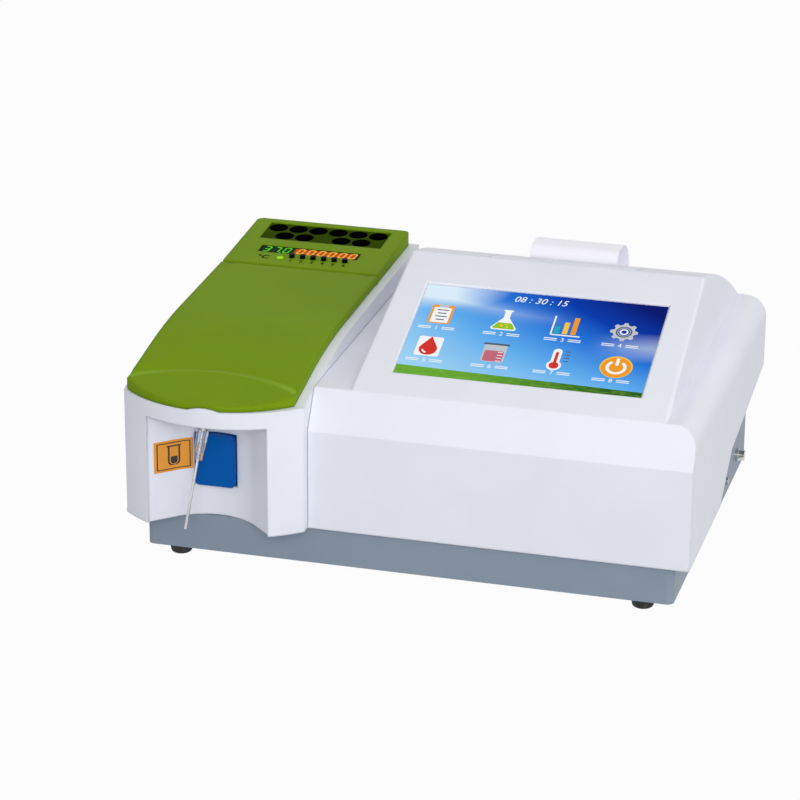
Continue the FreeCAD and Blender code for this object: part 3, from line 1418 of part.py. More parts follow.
def curl(near, far, low, sheet):
    """The paper's way over its curl, from the slot to the rear, on the side that a sheet's depth gives."""
    front = f"(arch_radius - {sheet})"
    rear = f"(arch_rear - {sheet})"
    return [(f"{near} - {front}", "arch_level"),
            ("arc", f"{near} - {front} * sqrt(0.5)", f"arch_level + {front} * sqrt(0.5)"),
            (near, f"arch_level + {front}"), (far, f"arch_level + {front}"),
            ("arc", f"{far} + {rear} * sqrt(0.5)", f"{low} + {rear} * sqrt(0.5)")]


def curl_back(near, far, low):
    """The inner side of the paper's curl, from the rear back to the slot."""
    way = curl(near, far, low, "paper_thick")
    return [way[4], way[3], way[2], way[1], way[0]]


def printer_inside():
    """The paper roll, the platen and the paper."""
    roll = rod("roll_outside", "roll_outer", ("printer_x - paper_width / 2", "roll_y", "roll_level"),
               "paper_width", "x")
    core = rod("roll_core", "spindle_radius + run_gap", ("printer_x - paper_width", "roll_y", "roll_level"),
               "2 * paper_width", "x")
    keep(cut("paper_roll", roll, core))
    rubber = rod("platen_rubber", "platen_radius", ("printer_x - paper_width / 2", "platen_y", "platen_level"),
                 "paper_width", "x")
    shaft = rod("platen_rod", "platen_shaft", ("printer_x - plate_outer", "platen_y", "platen_level"),
                "2 * plate_outer", "x")
    keep(fuse("platen_roller", rubber, shaft))
    top = "arch_level + arch_radius"
    near = "paper_y + arch_radius"
    far = f"{near} + paper_flat"
    low = f"{top} - arch_rear"
    outside = [("paper_y", "roll_level")] + curl(near, far, low, "0") + [(f"{far} + arch_rear", low)]
    inside = [(f"{far} + arch_rear - paper_thick",
               low)] + curl_back(near, far, low) + [("paper_y + paper_thick", "roll_level")]
    keep(prism("paper_strip", "side", outside + inside, "printer_x - paper_width / 2",
               "printer_x + paper_width / 2"))


def electronics():
    """The main board and the power supply."""
    board = block("board_plate", ("pcb_x", "pcb_x + pcb_width"), ("pcb_y", "pcb_y + pcb_depth"),
                  ("pcb_z", "pcb_z + pcb_thick"))
    chips = []
    for index, (across, along, side) in enumerate(CHIP_SHARES, start=1):
        x = f"pcb_x + pcb_width * {across}"
        y = f"pcb_y + pcb_depth * {along}"
        chips.append(block(f"chip_{index}",
                           (f"{x} - standoff_height * {side}", f"{x} + standoff_height * {side}"),
                           (f"{y} - standoff_height", f"{y} + standoff_height"),
                           ("pcb_z + pcb_thick", "pcb_z + pcb_thick + standoff_radius")))
    keep(fuse("main_board", board, *chips))
    case = block("supply_case", ("supply_x", "supply_x + supply_width"),
                 ("supply_y", "supply_y + supply_depth"),
                 ("tray_floor", "tray_floor + supply_height"))
    slots = [block(f"supply_slot_{index}",
                   ("supply_x + standoff_height", "supply_x + supply_width - standoff_height"),
                   (f"supply_y + vent_width + ({index}) * vent_pitch",
                    f"supply_y + vent_width + ({index}) * vent_pitch + vent_slot"),
                   ("tray_floor + supply_height - standoff_height",
                    "tray_floor + supply_height + overrun")) for index in range(SLOT_COUNT)]
    keep(cut("power_supply", case, *slots))


def power_inlet():
    """The mains inlet with its three blades, and the room for the rocker."""
    deep = "tray_rear - inlet_depth"
    x = ("inlet_x - inlet_width", "inlet_x")
    z = ("inlet_level", "inlet_level + inlet_height")
    edge = "(inlet_flange + part_gap)"
    flange = block("inlet_plate", x, ("tray_rear", "tray_rear + inlet_flange"), z)
    body = block("inlet_body", (f"{x[0]} + {edge}", f"{x[1]} - {edge}"), (deep, "tray_rear"),
                 (f"{z[0]} + inlet_flange + part_gap", f"{z[1]} - inlet_flange - part_gap"))
    middle = "inlet_level + inlet_height / 2"
    socket_x = "inlet_x - inlet_width / 2 - socket_shift"
    socket = block("inlet_socket", (f"{socket_x} - socket_width / 2", f"{socket_x} + socket_width / 2"),
                   ("tray_rear + inlet_flange - socket_depth", "tray_rear + overrun"),
                   (f"{middle} - socket_height / 2", f"{middle} + socket_height / 2"))
    room = block("rocker_room",
                 ("rocker_x - rocker_width / 2 - part_gap", "rocker_x + rocker_width / 2 + part_gap"),
                 ("tray_rear + inlet_flange - rocker_depth * 2", "tray_rear + overrun"),
                 (f"{middle} - rocker_height / 2 - 2 * part_gap",
                  f"{middle} + rocker_height / 2 + 2 * part_gap"))
    axle = rod("rocker_bores", "rocker_axle + run_gap",
               ("rocker_x - rocker_width / 2 - rocker_axle - run_gap", "rocker_y", middle),
               "rocker_width + 2 * (rocker_axle + run_gap)", "x")
    blades = [block(f"blade_{index}", (f"{socket_x} + ({across}) * blade_pitch - blade_width / 2",
                                       f"{socket_x} + ({across}) * blade_pitch + blade_width / 2"),
                    ("tray_rear + inlet_flange - socket_depth",
                     "tray_rear + inlet_flange - socket_depth + blade_length"),
                    (f"{middle} + ({up}) * blade_height / 2 - blade_height / 2",
                     f"{middle} + ({up}) * blade_height / 2 + blade_height / 2"))
              for index, (across, up) in enumerate(((-1, -1), (0, 1), (1, -1)), start=1)]
    return keep(fuse("power_inlet", cut("inlet_case", fuse("inlet_form", flange, body), socket, room, axle),
                     *blades))


def rocker_switch():
    """The power rocker, shown with its upper side out."""
    middle = "inlet_level + inlet_height / 2"
    face = "tray_rear + inlet_flange"
    reach = "(rocker_height / 2 - 2 * part_gap)"
    profile = [(f"{face} - rocker_depth", f"{middle} - {reach} * 3 / 4"), (f"{face}", f"{middle} - {reach}"),
               (f"{face} + part_gap", middle), (f"{face} + rocker_rise", f"{middle} + {reach}"),
               (f"{face} - rocker_depth", f"{middle} + {reach} * 3 / 4")]
    body = prism("rocker_body", "side", profile, "rocker_x - rocker_width / 2", "rocker_x + rocker_width / 2")
    axle = rod("rocker_rod", "rocker_axle", ("rocker_x - rocker_width / 2 - rocker_axle", "rocker_y", middle),
               "rocker_width + 2 * rocker_axle", "x")
    return keep(fuse("rocker_switch", body, axle))


def ports():
    """The serial port and the USB port in the tray's rear wall."""
    x = "case_half - serial_right"
    z = "port_level"
    body = block("serial_body", (f"{x} - serial_width / 2", f"{x} + serial_width / 2"),
                 ("fan_wall - serial_shell_height", "fan_wall"),
                 (f"{z} - serial_height / 2", f"{z} + serial_height / 2"))
    shell = block("serial_shell", (f"{x} - serial_shell_width / 2", f"{x} + serial_shell_width / 2"),
                  ("fan_wall", "tray_rear + serial_proud"),
                  (f"{z} - serial_shell_height / 2", f"{z} + serial_shell_height / 2"))
    hollow = block("serial_hollow",
                   (f"{x} - serial_shell_width / 2 + usb_wall", f"{x} + serial_shell_width / 2 - usb_wall"),
                   ("tray_rear", "tray_rear + overrun"),
                   (f"{z} - serial_shell_height / 2 + usb_wall", f"{z} + serial_shell_height / 2 - usb_wall"))
    keep(cut("serial_port", fuse("serial_form", body, shell), hollow))
    x = "case_half - usb_right"
    flange = block("usb_flange", (f"{x} - usb_width / 2 - 2 * usb_wall", f"{x} + usb_width / 2 + 2 * usb_wall"),
                   ("fan_wall - usb_depth", "fan_wall"),
                   (f"{z} - usb_height / 2 - 2 * usb_wall", f"{z} + usb_height / 2 + 2 * usb_wall"))
    body = block("usb_body", (f"{x} - usb_width / 2", f"{x} + usb_width / 2"),
                 ("fan_wall", "tray_rear + usb_wall"),
                 (f"{z} - usb_height / 2", f"{z} + usb_height / 2"))
    hollow = block("usb_hollow", (f"{x} - usb_width / 2 + usb_wall", f"{x} + usb_width / 2 - usb_wall"),
                   ("fan_wall - usb_height", "tray_rear + overrun"),
                   (f"{z} - usb_height / 2 + usb_wall", f"{z} + usb_height / 2 - usb_wall"))
    tongue = block("usb_tongue", (f"{x} - usb_width / 2 + 2 * usb_wall", f"{x} + usb_width / 2 - 2 * usb_wall"),
                   ("fan_wall - usb_height", "tray_rear"), (f"{z}", f"{z} + 2 * usb_wall"))
    keep(fuse("usb_port", cut("usb_case", fuse("usb_form", flange, body), hollow), tongue))


def fan():
    """The fan behind the rear wall's grille: frame, rotor and wire guard."""
    y = ("fan_wall - fan_depth", "fan_wall")
    frame = block("fan_box", ("fan_x - fan_side / 2", "fan_x + fan_side / 2"), y,
                  ("fan_z - fan_side / 2", "fan_z + fan_side / 2"))
    bore = rod("fan_bore_hole", "fan_bore", ("fan_x", "fan_wall - fan_depth - overrun", "fan_z"),
               "fan_depth + 2 * overrun", "y")
    hub = rod("fan_hub_plate", "fan_hub", ("fan_x", y[0], "fan_z"), "fan_strut", "y")
    flat = block("fan_strut_flat", ("fan_x - fan_bore", "fan_x + fan_bore"), (y[0], f"{y[0]} + fan_strut"),
                 ("fan_z - fan_strut / 2", "fan_z + fan_strut / 2"))
    tall = block("fan_strut_tall", ("fan_x - fan_strut / 2", "fan_x + fan_strut / 2"),
                 (y[0], f"{y[0]} + fan_strut"),
                 ("fan_z - fan_bore", "fan_z + fan_bore"))
    shaft_hole = rod("fan_shaft_hole", "fan_shaft + run_gap", ("fan_x", f"{y[0]} - overrun", "fan_z"),
                     "2 * overrun", "y")
    keep(cut("fan_frame", fuse("fan_form", cut("fan_ring", frame, bore), hub, flat, tall), shaft_hole))
    start = f"{y[0]} + fan_strut + fan_shaft / 2"
    length = "fan_depth - fan_strut - fan_shaft"
    solid = Part.makeCylinder(measure("fan_hub"), measure(length),
                              Vector(measure("fan_x"), measure(start), measure("fan_z")), Vector(0, 1, 0))
    shaft = Part.makeCylinder(measure("fan_shaft"), measure("fan_strut + fan_shaft"),
                              Vector(measure("fan_x"), measure(y[0]), measure("fan_z")), Vector(0, 1, 0))
    solid = solid.fuse(shaft)
    reach = measure("fan_blade_tip - fan_hub / 2")
    chord = measure("fan_blade_tip / 2")
    thick = measure("fan_blade_thick")
    centre = Vector(measure("fan_x"), measure(f"{start} + ({length}) / 2"), measure("fan_z"))
    for index in range(BLADE_COUNT):
        blade = Part.makeBox(chord, thick, reach, Vector(-chord / 2, -thick / 2, measure("fan_hub / 2")))
        blade.rotate(Vector(), Vector(0, 0, 1), BLADE_DEGREES)
        blade.rotate(Vector(), Vector(0, 1, 0), index * 360 / BLADE_COUNT)
        blade.translate(centre)
        solid = solid.fuse(blade)
    limit = Part.makeCylinder(measure("fan_blade_tip"), measure(f"{length} + fan_strut + fan_shaft"),
                              Vector(centre.x, measure(y[0]), centre.z), Vector(0, 1, 0))
    keep(formed("fan_rotor", solid.common(limit).removeSplitter()))
    rings = []
    for index in range(1, GUARD_RINGS + 1):
        ring = DOC.addObject("Part::Torus", f"guard_ring_{index}")
        ring.Placement = Placement(Vector(), TURNS["y"])
        tie(ring, Radius1=f"guard_step * {index} - guard_wire", Radius2="guard_wire")
        tie(ring, Placement__Base__x="fan_x", Placement__Base__y="tray_rear + guard_wire",
            Placement__Base__z="fan_z")
        rings.append(ring)
    reach = f"(guard_step * {GUARD_RINGS} - guard_wire)"
    bars = [rod("guard_bar_flat", "guard_wire * guard_bar_share",
                (f"fan_x - {reach}", "tray_rear + guard_wire", "fan_z"),
                f"{reach} * 2", "x"),
            rod("guard_bar_tall", "guard_wire * guard_bar_share",
                ("fan_x", "tray_rear + guard_wire", f"fan_z - {reach}"),
                f"{reach} * 2")]
    keep(fuse("fan_guard", *rings, *bars))


def outside_fittings():
    """The waste outlet, the earth terminal and the screw beside it."""
    x = "case_half - waste_right"
    inner = rod("waste_nut", "waste_radius", (x, "fan_wall - waste_length", "waste_level"), "waste_length", "y")
    stem = rod("waste_stem", "waste_barb", (x, "fan_wall - waste_length", "waste_level"),
               "2 * waste_length + tray_sheet", "y")
    collar = rod("waste_collar", "waste_radius", (x, "tray_rear", "waste_level"), "waste_bore", "y")
    bore = rod("waste_through", "waste_bore", (x, "fan_wall - overrun", "waste_level"),
               "2 * overrun + tray_sheet", "y")
    keep(cut("waste_fitting", fuse("waste_form", inner, stem, collar), bore))
    wall = "tray_half"
    spot = ("rear_plane - terminal_back", "terminal_level")
    disc = rod("terminal_disc", "terminal_radius", (wall,) + spot, "terminal_proud / 3", "x")
    knob = rod("terminal_knob", "terminal_radius * terminal_knob_share",
               (f"{wall} + terminal_proud / 3",) + spot, "terminal_proud * 2 / 3", "x")
    stud = rod("terminal_rod", "terminal_stud", (f"{wall} - terminal_proud",) + spot, "terminal_proud", "x")
    nut = rod("terminal_nut", "terminal_radius", (f"{wall} - tray_sheet - terminal_stud",) + spot,
              "terminal_stud", "x")
    keep(fuse("side_terminal", disc, knob, stud, nut))
    spot = ("rear_plane - side_screw_back", "side_screw_level")
    head = rod("side_screw_head", "side_screw_radius", (wall,) + spot, "side_screw_proud", "x")
    shank = rod("side_screw_shank", "terminal_stud / 2", (f"{wall} - terminal_proud",) + spot, "terminal_proud",
                "x")
    keep(fuse("side_screw", head, shank))


def optics():
    """The optical bench: lamp, lens, filter wheel, flow cell and detector in line with the beam."""
    floor = "bench_top"
    plate = block("bench_plate", ("bench_x - bench_width / 2", "bench_x + bench_width / 2"),
                  ("bench_y - bench_depth / 2", "bench_y + bench_depth / 2"), ("tray_floor", floor))
    lamp_x = "bench_x - bench_width / 2 + lamp_wall"
    house = block("lamp_outside", (lamp_x, f"{lamp_x} + lamp_house_width"),
                  ("bench_y - lamp_house_depth / 2", "bench_y + lamp_house_depth / 2"),
                  (floor, "beam_level + lamp_house_depth / 2"))
    room = block("lamp_inside", (f"{lamp_x} + lamp_wall", f"{lamp_x} + lamp_house_width - lamp_wall"),
                 ("bench_y - lamp_house_depth / 2 + lamp_wall", "bench_y + lamp_house_depth / 2 - lamp_wall"),
                 (floor, "beam_level + lamp_house_depth / 2 - lamp_wall"))
    beam = rod("lamp_beam_hole", "beam_radius + lamp_wall / 2",
               (f"{lamp_x} + lamp_house_width / 2", "bench_y", "beam_level"), "lamp_house_width", "x")
    air = [block(f"lamp_air_{index}",
                 (f"{lamp_x} + lamp_wall * 2", f"{lamp_x} + lamp_house_width - lamp_wall * 2"),
                 (f"bench_y + ({index}) * vent_pitch - vent_slot / 2",
                  f"bench_y + ({index}) * vent_pitch + vent_slot / 2"),
                 ("beam_level", "beam_level + overrun * 2")) for index in (-1, 0, 1)]
    keep(cut("lamp_housing", house, room, beam, *air))
    bulb_x = f"{lamp_x} + lamp_house_width / 2"
    base = rod("lamp_socket", "lamp_base_radius", (bulb_x, "bench_y", floor),
               f"beam_level - bulb_height / 2 - ({floor})")
    bulb = rod("lamp_bulb", "bulb_radius", (bulb_x, "bench_y", "beam_level - bulb_height / 2"), "bulb_height")
    keep(fuse("halogen_lamp", base, bulb))
    lens_x = f"{lamp_x} + lamp_house_width + wheel_space"
    mount = block("lens_plate", (lens_x, f"{lens_x} + lens_thick"),
                  ("bench_y - lens_radius - lamp_wall", "bench_y + lens_radius + lamp_wall"),
                  (floor, "beam_level + lens_radius + lamp_wall"))
    lens = rod("condenser_lens", "lens_radius", (lens_x, "bench_y", "beam_level"), "lens_thick", "x")
    bore = rod("lens_bore", "lens_radius", (lens_x, "bench_y", "beam_level"), "lens_thick", "x")
    keep(cut("optical_bench", fuse("bench_with_mount", plate, mount), bore))
    keep(lens)
    wheel_x = f"{lens_x} + lens_thick + wheel_space"
    disc = rod("wheel_disc", "wheel_radius", (wheel_x, "bench_y", "wheel_z"), "wheel_thick", "x")
    shaft = rod("wheel_rod", "wheel_shaft", (wheel_x, "bench_y", "wheel_z"),
                "wheel_thick + wheel_space + bracket_thick + motor_length / 2", "x")
    filters = []
    bores = []
    for index in range(int(measure("filter_count"))):
        y = f"bench_y + filter_orbit * sin({index} * 360 deg / filter_count)"
        z = f"wheel_z + filter_orbit * cos({index} * 360 deg / filter_count)"
        filters.append(rod(f"filter_{index + 1}", "filter_radius", (wheel_x, y, z), "wheel_thick", "x"))
        bores.append(rod(f"filter_bore_{index + 1}", "filter_radius", (wheel_x, y, z), "wheel_thick", "x"))
    keep(fuse("filter_wheel", cut("wheel_plate", disc, *bores), shaft))
    keep(group("colour_filters", *filters))
    bracket_x = f"{wheel_x} + wheel_thick + wheel_space"
    plate = block("wheel_plate_bracket", (bracket_x, f"{bracket_x} + bracket_thick"),
                  ("bench_y - motor_radius - lamp_wall", "bench_y + motor_radius + lamp_wall"),
                  (floor, "beam_level + lens_radius"))
    hole = rod("bracket_shaft_hole", "wheel_shaft + run_gap", (bracket_x, "bench_y", "wheel_z"),
               "bracket_thick", "x")
    light = rod("bracket_beam_hole", "filter_radius", (bracket_x, "bench_y", "beam_level"), "bracket_thick",
                "x")
    motor_x = f"{bracket_x} + bracket_thick"
    motor = rod("motor_case", "motor_radius", (motor_x, "bench_y", "wheel_z"), "motor_length", "x")
    socket = rod("motor_bore", "wheel_shaft + run_gap", (motor_x, "bench_y", "wheel_z"), "motor_length * 2 / 3",
                 "x")
    keep(cut("wheel_motor", fuse("motor_on_bracket", plate, motor), hole, light, socket))
    holder = block("holder_block", ("holder_x", "holder_x + holder_side"),
                   ("bench_y - holder_side / 2", "bench_y + holder_side / 2"),
                   (floor, "deck_bottom - wheel_space"))
    middle = "holder_x + holder_side / 2"
    slot = block("holder_slot", (f"{middle} - cell_side / 2", f"{middle} + cell_side / 2"),
                 ("bench_y - cell_side / 2", "bench_y + cell_side / 2"),
                 ("cell_floor", "deck_top + overrun"))
    beam = rod("holder_beam", "beam_radius", ("holder_x", "bench_y", "beam_level"), "holder_side", "x")
    keep(cut("cell_holder", holder, slot, beam))
    cell = block("cell_block", (f"{middle} - flow_cell_side / 2", f"{middle} + flow_cell_side / 2"),
                 ("bench_y - flow_cell_side / 2", "bench_y + flow_cell_side / 2"),
                 ("cell_floor", "cell_floor + flow_cell_height"))
    keep(cut("flow_cell", cell, rod("cell_bore", "beam_radius * cell_bore_share",
                                    (middle, "bench_y", "cell_floor + beam_radius"), "flow_cell_height")))
    sensor = block("sensor_block", ("holder_x + holder_side", "holder_x + holder_side + detector_depth"),
                   ("bench_y - detector_side / 2", "bench_y + detector_side / 2"),
                   ("beam_level - detector_side / 2", "beam_level + detector_side / 2"))
    keep(sensor)
    sensor.Label = "photodetector"


def pump():
    """The peristaltic pump: body with its track, motor, rotor with three rollers, and the hose."""
    middle = "pump_z"
    body = block("pump_case", ("pump_x - pump_width / 2", "pump_x + pump_width / 2"),
                 ("pump_y - pump_depth", "pump_y"),
                 ("tray_floor", "pump_level + pump_height"))
    track = rod("pump_track_room", "pump_track", ("pump_x", "pump_y - pump_depth", middle),
                "pump_depth * 2 / 3", "y")
    hole = rod("pump_shaft_hole", "pump_shaft + run_gap", ("pump_x", "pump_y - pump_depth", middle),
               "pump_depth", "y")
    ring = "(pump_track - pump_tube)"
    tube_y = "pump_y - pump_depth * 2 / 3"
    slots = [block(f"hose_slot_{index}",
                   (f"pump_x + ({side}) * {ring} - pump_tube", f"pump_x + ({side}) * {ring} + pump_tube"),
                   ("pump_y - pump_depth", f"{tube_y} + pump_tube"),
                   (f"{middle} - pump_track - pump_tube * 3", middle))
             for index, side in enumerate((-1, 1), start=1)]
    motor = rod("pump_motor", "pump_motor_radius", ("pump_x", "pump_y", middle), "pump_motor_length", "y")
    bore = rod("pump_motor_bore", "pump_shaft + run_gap", ("pump_x", "pump_y", middle), "pump_motor_length / 2",
               "y")
    keep(cut("pump_body", fuse("pump_with_motor", body, motor), track, hole, bore, *slots))
    hoop = DOC.addObject("Part::Torus", "hose_arch")
    hoop.Placement = Placement(Vector(), Rotation(Vector(1, 0, 0), Vector(0, 0, 1), Vector(0, -1, 0), "ZXY"))
    hoop.Angle3 = 180
    tie(hoop, Radius1=ring, Radius2="pump_tube", Placement__Base__x="pump_x", Placement__Base__y=tube_y,
        Placement__Base__z=middle)
    legs = [rod(f"hose_leg_{index}", "pump_tube",
                (f"pump_x + ({side}) * {ring}", tube_y, f"{middle} - pump_track - pump_tube * 3"),
                "pump_track + pump_tube * 3") for index, side in enumerate((-1, 1), start=1)]
    keep(fuse("pump_hose", hoop, *legs))
    disc_y = "pump_y - pump_depth / 3 - part_gap * 2 - pump_shaft"
    disc = rod("rotor_disc", "pump_orbit + pump_shaft / 2", ("pump_x", disc_y, middle), "pump_shaft", "y")
    shaft = rod("rotor_shaft", "pump_shaft", ("pump_x", "pump_y - pump_depth", middle),
                "pump_depth + pump_motor_length / 3", "y")
    rollers = []
    for index in range(int(measure("pump_roller_count"))):
        turn = f"({index} * 360 deg / pump_roller_count)"
        rollers.append(rod(f"pump_roller_{index + 1}", "pump_roller",
                           (f"pump_x + pump_orbit * sin{turn}", f"{disc_y} - pump_rotor_thick",
                            f"{middle} + pump_orbit * cos{turn}"),
                           "pump_rotor_thick", "y"))
    keep(fuse("pump_rotor", disc, shaft, *rollers))


def build():
    """Builds every piece in order."""
    fill_sheet()
    base_tray()
    rubber_feet()
    foot_screws()
    upper_casing()
    incubator_casing()
    flip_lid()
    lid_hinge_pins()
    incubator_cover()
    well_panel()
    incubator_block()
    display_window()
    digit_display()
    key_board()
    timer_keys()
    indicator_led()
    chamber_deck()
    aspirate_button()
    button_switch()
    sipper_tube()
    sipper_collar()
    sipper_sleeve()
    amber_label()
    touch_glass()
    lcd_module()
    lcd_frame()
    printer_cover()
    printer_housing()
    printer_inside()
    electronics()
    power_inlet()
    rocker_switch()
    ports()
    fan()
    outside_fittings()
    optics()
    pump()


def check_and_write():
    """Stops on any failed object, then writes each piece to its own file."""
    DOC.recompute()
    for thing in DOC.Objects:
        if "Invalid" in thing.State or "Error" in thing.State:
            raise RuntimeError(f"{thing.Name} failed: {thing.State}")
    os.makedirs("parts", exist_ok=True)
    for piece in NODES:
        if piece.Shape.isNull() or not piece.Shape.isValid():
            raise RuntimeError(f"{piece.Label} has no valid shape")
        piece.Shape.exportStep(f"parts/{piece.Label}.step")


build()
check_and_write()
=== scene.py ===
"""Looks of a benchtop chemistry analyzer, dressed around its solids. Metres, +X right, +Y rear, +Z up."""
import logging
import math
from collections.abc import Callable, Iterable, Sequence
from dataclasses import dataclass, field
from enum import Enum
from typing import Any

import bpy
from bpy.types import Material, NodeSocket, Object
from mathutils import Matrix, Vector


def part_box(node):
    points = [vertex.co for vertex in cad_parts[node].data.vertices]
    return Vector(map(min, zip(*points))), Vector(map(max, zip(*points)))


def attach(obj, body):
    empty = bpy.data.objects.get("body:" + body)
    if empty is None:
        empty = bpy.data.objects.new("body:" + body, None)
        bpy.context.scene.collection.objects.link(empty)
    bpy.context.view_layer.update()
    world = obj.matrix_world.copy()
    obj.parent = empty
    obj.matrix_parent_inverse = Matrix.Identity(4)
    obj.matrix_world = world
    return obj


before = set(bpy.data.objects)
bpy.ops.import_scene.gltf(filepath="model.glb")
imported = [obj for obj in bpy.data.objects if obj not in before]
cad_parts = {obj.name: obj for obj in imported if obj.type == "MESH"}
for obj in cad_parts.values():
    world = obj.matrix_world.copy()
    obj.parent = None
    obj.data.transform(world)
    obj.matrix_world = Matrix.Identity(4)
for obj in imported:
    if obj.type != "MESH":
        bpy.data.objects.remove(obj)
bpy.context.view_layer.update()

LOG = logging.getLogger("analyzer")
MM = 0.001
WELD = 0.001 * MM
SHARP_TURN = math.radians(40)
SMOOTH_TURN = math.radians(35)
REARWARD = Vector((0, 1, 0))
RING_STEPS = 32
CORNER_STEPS = 4
Colour = tuple[float, float, float, float]
Point = tuple[float, float]


def tint(red: float, green: float, blue: float) -> Colour:
    """Turn a colour on the 0 to 255 screen scale into the linear one that shaders take.

    Args:
        red: Red on the screen scale.
        green: Green on the screen scale.
        blue: Blue on the screen scale.

    Returns:
        The linear colour with full alpha.
    """
    parts = (((part / 255 + 0.055) / 1.055) ** 2.4 if part > 10 else part / 255 / 12.92
             for part in (red, green, blue))
    return (*parts, 1.0)


def _operator(operation: str, says: str, swapped: bool = False) -> "Callable[..., Number]":
    """Make a method of Number that adds one Math node.

    Args:
        operation: The node's operation.
        says: The method's docstring.
        swapped: Whether the other number comes first.

    Returns:
        The method.
    """
    def method(self: "Number", *others: Any) -> "Number":
        terms = (*others, self) if swapped else (self, *others)
        made = self.graph.node("Math", dict(enumerate(terms)), operation=operation)
        return Number(self.graph, made.outputs[0])

    method.__doc__ = says
    return method


class Number:
    """One number that varies over a surface. Python's operators on it add Math nodes."""

    def __init__(self, graph: "Graph", socket: NodeSocket) -> None:
        """Wrap a socket of a graph."""
        self.graph = graph
        self.socket = socket

    __add__ = _operator("ADD", "Return the sum.")
    __radd__ = _operator("ADD", "Return the sum.", swapped=True)
    __sub__ = _operator("SUBTRACT", "Return the difference.")
    __rsub__ = _operator("SUBTRACT", "Return the difference the other way.", swapped=True)
    __mul__ = _operator("MULTIPLY", "Return the product.")
    __rmul__ = _operator("MULTIPLY", "Return the product.", swapped=True)
    __truediv__ = _operator("DIVIDE", "Return the quotient.")
    __pow__ = _operator("POWER", "Return the power.")
    size = _operator("ABSOLUTE", "Return the absolute value.")
    least = _operator("MINIMUM", "Return the smaller of the two.")
    most = _operator("MAXIMUM", "Return the larger of the two.")
    above = _operator("GREATER_THAN", "Return 1 where this is over the limit, else 0.")
    below = _operator("LESS_THAN", "Return 1 where this is under the limit, else 0.")
    fraction = _operator("FRACT", "Return the part after the decimal point.")
    sine = _operator("SINE", "Return the sine of this angle in radians.")

    def swing(self, share: float) -> "Number":
        """Return how far a noise is from its middle, times a share."""
        return (self - 0.5) * share

    def eased(self, low: float, high: float) -> "Number":
        """Return 0 up to low and 1 from high, with a smooth step between them."""
        sockets = {"Value": self, "From Min": low, "From Max": high}
        made = self.graph.node("MapRange", sockets, interpolation_type="SMOOTHSTEP")
        return Number(self.graph, made.outputs[0])


